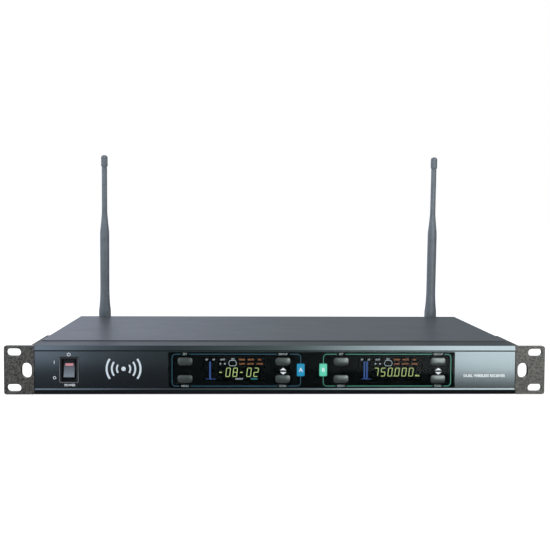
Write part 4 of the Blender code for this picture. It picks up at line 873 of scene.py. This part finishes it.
def make_display(channel):
    """Lit figures, meters and small signs on the face of a display tube."""
    y = extent("display_tube_" + channel)[0].y
    face = (y - 0.06, y - 0.01)
    x = centre("display_tube_" + channel).x
    make_figures(channel, x, face)
    make_meters(channel, x, face)
    make_signs(channel, x, face)


def make_figures(channel, x, face):
    words, start, base, height = FIGURES[channel]
    shape = bmesh.new()
    cursor = x + start
    for figure in words:
        if figure == "-":
            stroke(shape, ((cursor + 0.9, base + height / 2), (cursor + 3.0, base + height / 2)), 0.8, *face)
            cursor += DASH_PITCH
        else:
            digit(shape, figure, cursor, base, height, *face)
            cursor += DIGIT_PITCH
    if channel == "b":
        block(shape, x + start + 3 * DIGIT_PITCH - 0.75, base + 0.3, 0.8, 0.8, *face, radius=0.39)
    finished("display_figures_" + channel, shape, DIGITS)


def make_meters(channel, x, face):
    shape = bmesh.new()
    for offset in METERS[channel]:
        block(shape, x + offset, 21.4, 1.5, 15.4, *face, radius=0.3)
    finished("display_meter_" + channel, shape, BAR_LIGHT)
    foot = x + SCALE_X[channel]
    shape = bmesh.new()
    for side in (-1, 1):
        block(shape, foot + side * 3.0, SCALE_Z, 2.6, 0.6, *face)
    block(shape, foot, SCALE_Z, 2.2, 0.9, *face)
    finished("display_scale_" + channel, shape, BAR_LIGHT)


def make_signs(channel, x, face):
    left = x + SIGNS_X[channel]
    shape = bmesh.new()
    for offset in (-2.0, 2.0):
        block(shape, left + offset, 27.0, 1.5, 1.5, *face, radius=0.74)
    stroke(shape, moved(HOUSE, x + HOUSE_X[channel], 27.4), 0.55, *face)
    finished("display_signs_" + channel, shape, WHITE_LIGHT)
    rows = [(name, words, left + offset, z, finish) for name, words, offset, z, finish in SIGNS]
    rows += [(name, words, x + offset, z, finish) for name, words, offset, z, finish in OWN_SIGNS[channel]]
    for name, words, place, z, finish in rows:
        letters(f"display_{name}_{channel}", words, place, z, SIGN_HEIGHT, finish, face[1], bold=0.08)


def make_mask():
    """Black printing behind the window, open over the two tubes, the keys and the tabs."""
    y = WINDOW_HIGH.y + 0.06
    holes = window_holes(0.1)
    for channel in CHANNELS:
        spot = centre("display_tube_" + channel)
        holes.append(moved(rounded(56.0, 21.0, 0.5, 3), spot.x, spot.z))
    cutout("window_mask", window_outline(-0.3), holes, y - INK, y + INK, MASK)


# Keys and power switch


KEY_WIDTH = 13.0
KEY_HEIGHT = 7.0
KEY_CORNER = 2.6
KEY_FLANGE = 0.9
TAB_WIDTH = 6.8
TAB_HEIGHT = 11.2
KEY_RINGS = 10
KEY_DOME = 1.6
ROCKER_HALF = ((-3.5, 3.0), (-4.0, 5.6), (-4.55, 7.6), (-4.2, 8.0), (0.3, 8.4), (3.1, 4.0))
ROCKER_REST = math.radians(-9.0)
TURN = [2 * math.pi * step / 24 for step in range(24)]
AXLE = ((0.0, 1.0), (0.75, 1.0), (0.9, 0.85))


def make_key(name):
    """A crowned key cap with a soft edge, its flange and its stem."""
    low, high = extent(name)
    x, z = (low.x + high.x) / 2, (low.z + high.z) / 2
    collar = WINDOW_HIGH.y + 0.3
    rings = []
    for step in range(1, KEY_RINGS + 1):
        share = step / KEY_RINGS
        outline = rounded(KEY_WIDTH * share, KEY_HEIGHT * share, KEY_CORNER * share, 8)
        rings.append(ring_at(outline, x, low.y + KEY_DOME * share**2.6, z))
    full = rounded(KEY_WIDTH, KEY_HEIGHT, KEY_CORNER, 8)
    rings.append(ring_at(full, x, collar, z))
    wide = rounded(KEY_WIDTH + 2 * KEY_FLANGE, KEY_HEIGHT + 2 * KEY_FLANGE, KEY_CORNER, 8)
    rings.append(ring_at(wide, x, collar, z))
    rings.append(ring_at(wide, x, collar + KEY_FLANGE, z))
    stem = rounded(3.6, 3.6, 1.8, 8)
    rings.append(ring_at(stem, x, collar + KEY_FLANGE, z))
    rings.append(ring_at(stem, x, high.y, z))
    key = finished(name + "_cap", loft(bmesh.new(), rings), KEYS, body=name, angle=50)
    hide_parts(name)


def make_rocker():
    """The power rocker with its lamp strip near the end that is pressed in."""
    pivot = Vector(joint("power_rocker_tilt")["pos_m"]) / MM
    low, high = extent("power_rocker")
    half_wide = (high.x - low.x - 1.8) / 2
    outline = [(-3.2, 0), *((y, -z) for y, z in ROCKER_HALF), *ROCKER_HALF[::-1]]
    shape = loft(bmesh.new(), [[(x, y, z) for y, z in outline] for x in (-half_wide, half_wide)])
    place = at(*pivot, Matrix.Rotation(ROCKER_REST, 3, "X"))
    rocker = finished("power_rocker_cap", shape, ROCKER, body="power_rocker", angle=40, place=place)
    bevel(rocker, 0.4)
    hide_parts("power_rocker")
    shape = bmesh.new()
    block(shape, 0, 0, 7.0, 2.9, -0.35, 0.25, radius=0.6)
    lamp_place = place @ at(0, -3.5, 3.6, Matrix.Rotation(math.radians(-10.0), 3, "X"))
    finished("power_rocker_lamp", shape, ROCKER_LAMP, body="power_rocker", place=lamp_place)
    shape = bmesh.new()
    for sign in (-1, 1):
        rings = []
        for out, radius in AXLE:
            x = sign * (half_wide + out)
            rings.append([(x, radius * math.cos(angle), radius * math.sin(angle)) for angle in TURN])
        loft(shape, rings)
    finished("power_rocker_axle", shape, ROCKER, body="power_rocker", place=place)


def make_switch_frame():
    """A light line moulded round the switch, open at its top."""
    low, high = extent("power_switch_housing")
    x0, x1, z0, z1 = low.x + 0.5, high.x - 0.5, low.z + 0.5, high.z - 0.8
    shape = bmesh.new()
    left = arc(x0 + 1, z0 + 1, 1, 180, 270, 4)
    right = arc(x1 - 1, z0 + 1, 1, 270, 360, 4)
    stroke(shape, [(x0, z1), *left, *right, (x1, z1)], 0.45, low.y - 0.02, low.y + 0.2)
    finished("switch_frame_line", shape, ink("frame_line", (0.16, 0.18, 0.2)))


# Antennas


def mast_place(side):
    """The place of an antenna's own frame: the socket's centre on the panel, leaning as the mast does."""
    fold = joint("antenna_fold_" + side)
    lean = math.atan2(-fold["axis"][2], fold["axis"][0])
    pivot = Vector(fold["pos_m"]) / MM
    turn = Matrix.Rotation(lean, 3, "Y")
    return at(pivot.x, pivot.y, pivot.z, turn)


def make_whip(side):
    """The whip from its fork to its thin upper end."""
    body, place = "antenna_whip_" + side, mast_place(side)
    top = (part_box("antenna_cap_" + side)[1].z - Vector(joint("antenna_fold_" + side)["pos_m"]).z) / MM
    shoulder = top - 13.5
    profile = [
        (0, 6.7), (6.2, 6.7), (6.75, 6.9), (6.9, 7.4), (6.9, 14.0), (6.7, 14.2), (6.7, 14.8), (6.9, 15.0),
        (6.9, 26.5), (6.75, 28.6), (6.3, 32.0), (5.95, 35.6), (5.62, 41.0), (5.4, 46.0), (5.27, 51.5),
        (5.25, 84.0), (5.25, 117.0), (5.15, 119.5), (4.75, 123.2), (4.2, 128.4), (3.7, 133.5), (3.3, 138.4),
        (3.1, 141.0), (3.05, 143.5), (3.05, shoulder - 0.4), (2.85, shoulder), (0, shoulder),
    ]
    whip = finished("whip_" + side, lathe(bmesh.new(), profile), RUBBER, body=body, place=place)
    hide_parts("antenna_whip_" + side)
    shape = bmesh.new()
    for sign in (-1, 1):
        outline = arc(0, 0, 5.0, 180, 360, 20) + [(5.0, 7.4), (-5.0, 7.4)]
        rings = []
        for x, shrink in ((2.9, 0.0), (5.8, 0.0), (6.1, 0.3), (6.2, 0.8)):
            scaled = [(a * (5 - shrink) / 5, b * (5 - shrink) / 5 if b < 7 else b) for a, b in outline]
            rings.append([(sign * x, a, b) for a, b in scaled])
        loft(shape, rings)
    finished("whip_fork_" + side, shape, RUBBER, body=body, place=place)

    profile = [(0, shoulder + 0.3), (3.3, shoulder + 0.3), (3.8, shoulder + 0.7)]
    ridge = shoulder + 1.6
    while ridge < top - 4.4:
        profile += [(3.8, ridge), (3.62, ridge + 0.25), (3.62, ridge + 0.55), (3.8, ridge + 0.8)]
        ridge += 1.7
    profile += [(3.8, top - 3.0), (3.65, top - 2.2), (3.3, top - 1.5), (2.7, top - 0.8), (1.9, top - 0.35)]
    profile += [(1.0, top - 0.08), (0, top)]
    cap = finished("whip_cap_" + side, lathe(bmesh.new(), profile), RUBBER, body=body, place=place)
    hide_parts("antenna_cap_" + side)


def knurl(angle, radius):
    """Ridges round the outside of a coupling nut."""
    if radius < 7.0:
        return 0.0
    return -0.22 + 0.22 * math.cos(36 * angle)


def make_coupling(side):
    """Knurled coupling nut, threaded socket with its panel nut, and the socket's insulator."""
    socket = Vector(joint("antenna_swivel_" + side)["pos_m"]) / MM
    back = Matrix.Rotation(-math.pi / 2, 3, "X")
    place = at(*socket, back)
    profile = [
        (3.7, 10.7), (6.2, 10.7), (6.9, 10.4), (7.2, 9.9), (7.2, 8.4), (6.9, 8.2), (6.9, 7.7), (7.2, 7.5),
        (7.2, 3.5), (6.9, 3.0), (6.5, 2.7), (5.8, 2.7), (5.8, 9.5), (3.7, 9.5),
    ]
    shape = lathe(bmesh.new(), profile, 144, closed=True, ripple=knurl)
    nut = finished("coupling_nut_" + side, shape, PLATED, body="antenna_nut_" + side, place=place, angle=60)
    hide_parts("antenna_nut_" + side)

    def hexagon(angle, radius):
        if radius < 7.5:
            return 0.0
        turn = (angle + math.pi / 6) % (math.pi / 3) - math.pi / 6
        return 6.9 / math.cos(turn) - radius

    profile = [(4.1, 9.2), (5.2, 9.2)]
    for turn in range(6):
        height = 8.8 - 1.0 * turn
        profile += [(5.5, height), (5.1, height - 0.5)]
    profile += [(5.4, 2.9), (7.6, 2.9), (8.0, 2.6), (8.0, 0.9), (7.45, 0.9), (7.45, 0.3)]
    profile += [(6.0, 0.3), (6.0, -9.0), (4.1, -9.0)]
    shape = lathe(bmesh.new(), profile, 96, closed=True, ripple=hexagon)
    body = finished("threaded_socket_" + side, shape, PLATED, place=place, angle=30)
    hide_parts("antenna_socket_" + side)
    shape = lathe(bmesh.new(), [(0, 1.0), (4.05, 1.0), (4.05, 0.4), (0, 0.4)], 32)
    finished("socket_insulator_" + side, shape, ink("insulator", (0.75, 0.73, 0.68)), place=place)


def make_screw(name, x, y, z, axis, radius=2.9, height=1.9, node=None):
    """A pan-head screw with a cross recess; axis points out of the surface."""
    shape = bmesh.new()
    r, h = radius, height
    dome = [(0, h), (r * 0.35, h * 0.98), (r * 0.62, h * 0.88), (r * 0.85, h * 0.62), (r * 0.97, h * 0.3)]
    lathe(shape, dome + [(r, h * 0.12), (r, 0.02), (0, 0.02)], 36)
    turn = Vector((0, 0, 1)).rotation_difference(Vector(axis)).to_matrix()
    head = finished(name, shape, SCREW, place=at(x, y, z, turn), angle=50)
    cross = bmesh.new()
    for wide, tall in ((0.42, 1.15), (1.15, 0.42)):
        w, t = wide * r * 0.45, tall * r * 0.5
        rings = []
        for level, shrink in ((h * 0.4, 0.6), (h + 1, 1.1)):
            rings.append([(sx * w * shrink, sy * t * shrink, level) for sx, sy in SQUARE])
        loft(cross, rings)
    cutter = finished(name + "_cut", cross, SCREW, place=at(x, y, z, turn))
    recess = head.modifiers.new("recess", "BOOLEAN")
    recess.object = cutter
    recess.use_self = True
    bpy.context.view_layer.update()
    mesh = bpy.data.meshes.new_from_object(head.evaluated_get(bpy.context.evaluated_depsgraph_get()))
    head.modifiers.clear()
    head.data = mesh
    bpy.data.objects.remove(cutter)
    if node:
        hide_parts(node)


def make_screws():
    for side, sign in (("left", -1), ("right", 1)):
        for node in (f"ear_screw_{side}_front", f"ear_screw_{side}_rear", "cover_screw_" + side):
            low, high = extent(node)
            outer = max(low.x * sign, high.x * sign)
            place = centre(node)
            make_screw(node + "_head", sign * (outer - 1.9), place.y, place.z, (sign, 0, 0), node=node)


# Rear panel


PIN_CIRCLE = 4.9
PIN_ANGLES = (30, 150, 270)
BLADES = ((-7.0, -1.8), (7.0, -1.8), (0.0, 2.2))
MOUTH_RISE = 4.6
REAR_SCREWS = ((-209, 37.6), (209, 37.6), (-209, 6.2), (209, 6.2), (-70, 38), (24, 39))
REAR_WORDS = (
    ("DATA", "data_port", 9.6),
    ("AF OUT A", "jack_output_a", 10.4),
    ("AF OUT B", "jack_output_b", 10.4),
    ("LINE OUT A", "xlr_output_a", 18.0),
    ("LINE OUT B", "xlr_output_b", 18.0),
    ("LEVEL A", "level_switch_a", 8.0),
    ("LEVEL B", "level_switch_b", 8.0),
)


def circle(radius, steps=32, turn=0.0):
    return arc(0, 0, radius, turn, turn + 360 * (steps - 1) / steps, steps - 1)


def make_pins(channel):
    """Gold pins on the floor of a three-pin output, and its two screws."""
    spot = centre("xlr_output_" + channel)
    profile = [(0, -3.8), (0.8, -3.8), (1.26, -4.4), (1.26, -15.7), (0, -15.7)]
    for number, angle in enumerate(PIN_ANGLES):
        x = spot.x + PIN_CIRCLE * math.cos(math.radians(angle))
        z = MIDDLE_Z + PIN_CIRCLE * math.sin(math.radians(angle))
        place = at(x, REAR_Y, z, Matrix.Rotation(-math.pi / 2, 3, "X"))
        finished(f"output_pin_{channel}_{number}", lathe(bmesh.new(), profile, 20), GOLD, place=place)
    for number, sign in enumerate((1, -1)):
        place = (spot.x + sign * 10.4, REAR_Y + 2.3, MIDDLE_Z + sign * 12.8)
        make_screw(f"output_screw_{channel}_{number}", *place, (0, 1, 0), radius=1.7, height=0.8)


def make_jack_nut(channel):
    """The plated hexagon nut and bushing of a 6.3 mm output."""
    spot = centre("jack_output_" + channel)
    hexagon = moved(circle(7.05, 6, 90), spot.x, MIDDLE_Z)
    inner = moved(circle(5.0), spot.x, MIDDLE_Z)
    cutout("jack_nut_" + channel, hexagon, (inner,), REAR_Y + 0.28, REAR_Y + 2.96, PLATED, soft=0.2)
    bushing = moved(circle(5.04), spot.x, MIDDLE_Z)
    bore = moved(circle(3.25), spot.x, MIDDLE_Z)
    cutout("jack_bushing_" + channel, bushing, (bore,), REAR_Y + 0.3, REAR_Y + 3.66, PLATED, soft=0.15)


def make_contacts():
    """The data port's eight contacts and the mains inlet's three blades."""
    spot = centre("data_port")
    shape = bmesh.new()
    for number in range(8):
        block(shape, spot.x + 1.02 * (number - 3.5), MIDDLE_Z + 3.55, 0.4, 0.3, REAR_Y - 9.0, REAR_Y - 1.5)
    finished("data_contacts", shape, GOLD)
    spot = centre("mains_inlet")
    shape = bmesh.new()
    for x, z in BLADES:
        z += MIDDLE_Z + MOUTH_RISE
        block(shape, spot.x + x, z, 2.06, 4.06, REAR_Y - 14.0, REAR_Y - 2.94, radius=0.5)
    finished("inlet_blades", shape, PLATED)


def make_rear_words():
    y = REAR_Y
    for words, node, rise in REAR_WORDS:
        spot = centre(node)
        name = "rear_words_" + words.lower().replace(" ", "_")
        letters(name, words, spot.x, MIDDLE_Z + rise, 2.0, WHITE_INK, y, rear=True, bold=0.05)
    inlet = centre("mains_inlet")
    letters("rear_words_mains", "AC IN", inlet.x + 25, MIDDLE_Z + 8, 2.2, WHITE_INK, y, rear=True, bold=0.05)
    letters("rear_words_fuse", "FUSE", inlet.x + 25, MIDDLE_Z - 11, 2.2, WHITE_INK, y, rear=True, bold=0.05)
    for side, sign, words in (("left", -1, "ANT B"), ("right", 1, "ANT A")):
        x = centre("antenna_socket_" + side).x - sign * 15
        letters("rear_words_antenna_" + side, words, x, MIDDLE_Z + 9, 2.2, WHITE_INK, y, rear=True, bold=0.05)


def make_rear():
    for channel in CHANNELS:
        make_pins(channel)
        make_jack_nut(channel)
    make_contacts()
    make_rear_words()
    for number, (x, z) in enumerate(REAR_SCREWS):
        make_screw(f"rear_screw_{number}", x, REAR_Y, z, (0, 1, 0), radius=2.1, height=1.2)


# Camera, lights and floor


CAMERA_PLACE = (-0.03202, -1.05812, 0.15751)
CAMERA_YAW = 0.0327
CAMERA_PITCH = 0.0548
CAMERA_ROLL = 0.0048
CAMERA_LENS = 68.24
FLOOR_HALF = 30.0
CARD_AWAY = 0.12
CARD_REACH = 0.5
CARD_TOP = 0.5
CARD_LEFT_FOOT = 0.018
CARD_RIGHT_FOOT = -0.008
CARD_PEAK = 4.0
CARD_STOPS = (
    (-0.50, (1.3, 1.45, 1.7)),
    (-0.227, (0.75, 0.82, 0.97)),
    (-0.181, (0.32, 0.35, 0.4)),
    (-0.131, (0.18, 0.2, 0.22)),
    (-0.105, (0.13, 0.145, 0.155)),
    (0.01, (0.33, 0.39, 0.37)),
    (0.035, (0.48, 0.55, 0.54)),
    (0.202, (3.1, 3.25, 3.25)),
    (0.50, (4.0, 4.0, 3.9)),
)


def make_camera():
    data = bpy.data.cameras.new("camera")
    data.lens = CAMERA_LENS
    data.sensor_width = 36.0
    data.clip_end = 200.0
    camera = link("camera", data)
    camera.location = CAMERA_PLACE
    turn = Matrix.Rotation(-CAMERA_YAW, 3, "Z") @ Matrix.Rotation(math.pi / 2 - CAMERA_PITCH, 3, "X")
    camera.rotation_euler = (turn @ Matrix.Rotation(CAMERA_ROLL, 3, "Z")).to_euler()
    bpy.context.scene.camera = camera


def make_light(name, place, target, size, power):
    data = bpy.data.lights.new(name, "AREA")
    data.shape = "RECTANGLE"
    data.size, data.size_y = size
    data.energy = power
    lamp = link(name, data)
    lamp.location = place
    lamp.rotation_euler = (Vector(target) - Vector(place)).to_track_quat("-Z", "Y").to_euler()
    lamp.visible_glossy = False


def sheet(name, corners, made):
    """A flat four-cornered object in the scene."""
    mesh = bpy.data.meshes.new(name)
    mesh.from_pydata(corners, [], [(0, 1, 2, 3)])
    mesh.materials.append(made.material)
    return link(name, mesh)


def make_floor():
    made = Finish("floor")
    made.set(Base_Color=(0.35, 0.35, 0.35, 1), Roughness=0.9)
    made.set(Emission_Color=(1, 1, 1, 1), Emission_Strength=0.88)
    half = FLOOR_HALF
    floor = sheet("floor", [(-half, -half, 0), (half, -half, 0), (half, half, 0), (-half, half, 0)], made)
    floor.location.z = -0.0005
    floor.visible_glossy = False


def make_card():
    """A graded reflector card in front, seen only in reflections."""
    made = Finish("card")
    across = made.add("SeparateXYZ", {0: made.place()}).outputs[0]
    reach = CARD_REACH
    factor = made.spread(across, 0.0, 1.0, -reach, reach)
    stops = [((x + reach) / (2 * reach), shade(colour, 1 / CARD_PEAK)) for x, colour in CARD_STOPS]
    light = made.add("Emission", {"Color": made.ramp(factor, *stops), "Strength": CARD_PEAK})
    made.tree.links.new(light.outputs[0], made.tree.nodes["Material Output"].inputs[0])
    depth = PANEL_LOW.y * MM - CARD_AWAY
    feet = [(-reach, depth, CARD_LEFT_FOOT), (reach, depth, CARD_RIGHT_FOOT)]
    card = sheet("card", [*feet, (reach, depth, CARD_TOP), (-reach, depth, CARD_TOP)], made)
    for ray in ("camera", "diffuse", "transmission", "shadow", "volume_scatter"):
        setattr(card, "visible_" + ray, False)


def make_world():
    """White to the camera; to reflections, a soft room that is brighter behind and to the left."""
    world = bpy.data.worlds.new("studio")
    bpy.context.scene.world = world
    world.use_nodes = True
    made = Finish.__new__(Finish)
    made.tree = world.node_tree
    made.tree.nodes.clear()
    direction = made.add("TexCoord").outputs["Generated"]
    parts = made.add("SeparateXYZ", {0: direction}).outputs
    side = made.ramp(
        made.spread(parts[0], 0.0, 1.0, -0.5, 0.5),
        (0.0, (0.85, 0.92, 1.1)),
        (0.35, (0.68, 0.74, 0.9)),
        (0.55, (0.33, 0.375, 0.405)),
        (0.8, (0.23, 0.275, 0.295)),
    )
    behind = made.spread(parts[1], 0.3, 1.0, -0.6, 0.4)
    height = made.spread(parts[2], 0.15, 1.0, -0.1, 0.05)
    level = made.add("Math", {0: behind, 1: height}, operation="MULTIPLY").outputs[0]
    room = made.add("Background", {"Color": side, "Strength": level}).outputs[0]
    white = made.add("Background", {"Color": (1, 1, 1, 1), "Strength": 1.0}).outputs[0]
    seen = made.add("LightPath").outputs["Is Camera Ray"]
    shader = made.add("MixShader", {0: seen, 1: room, 2: white}).outputs[0]
    output = made.add("OutputWorld")
    made.tree.links.new(shader, output.inputs[0])


def make_studio():
    bpy.context.scene.view_settings.view_transform = "Standard"
    make_camera()
    make_world()
    make_card()
    make_floor()
    make_light("key_light", (-0.5, -0.9, 1.5), (0, 0, 0.03), (1.2, 1.0), 14)
    make_light("top_light", (0.2, 0.3, 1.6), (0, 0, 0.03), (1.6, 1.2), 10)


dress_nodes()
for channel in CHANNELS:
    make_channel_outline(channel)
    make_arrows(channel)
    make_tab_letter(channel)
    make_display(channel)
for name in sorted(frame["nodes"]):
    if name.startswith("button_"):
        make_key(name)
make_fascia()
make_window()
make_mask()
make_mark()
make_fascia_words()
make_rocker()
make_switch_frame()
for side in SIDES:
    make_whip(side)
    make_coupling(side)
make_screws()
make_rear()
make_studio()
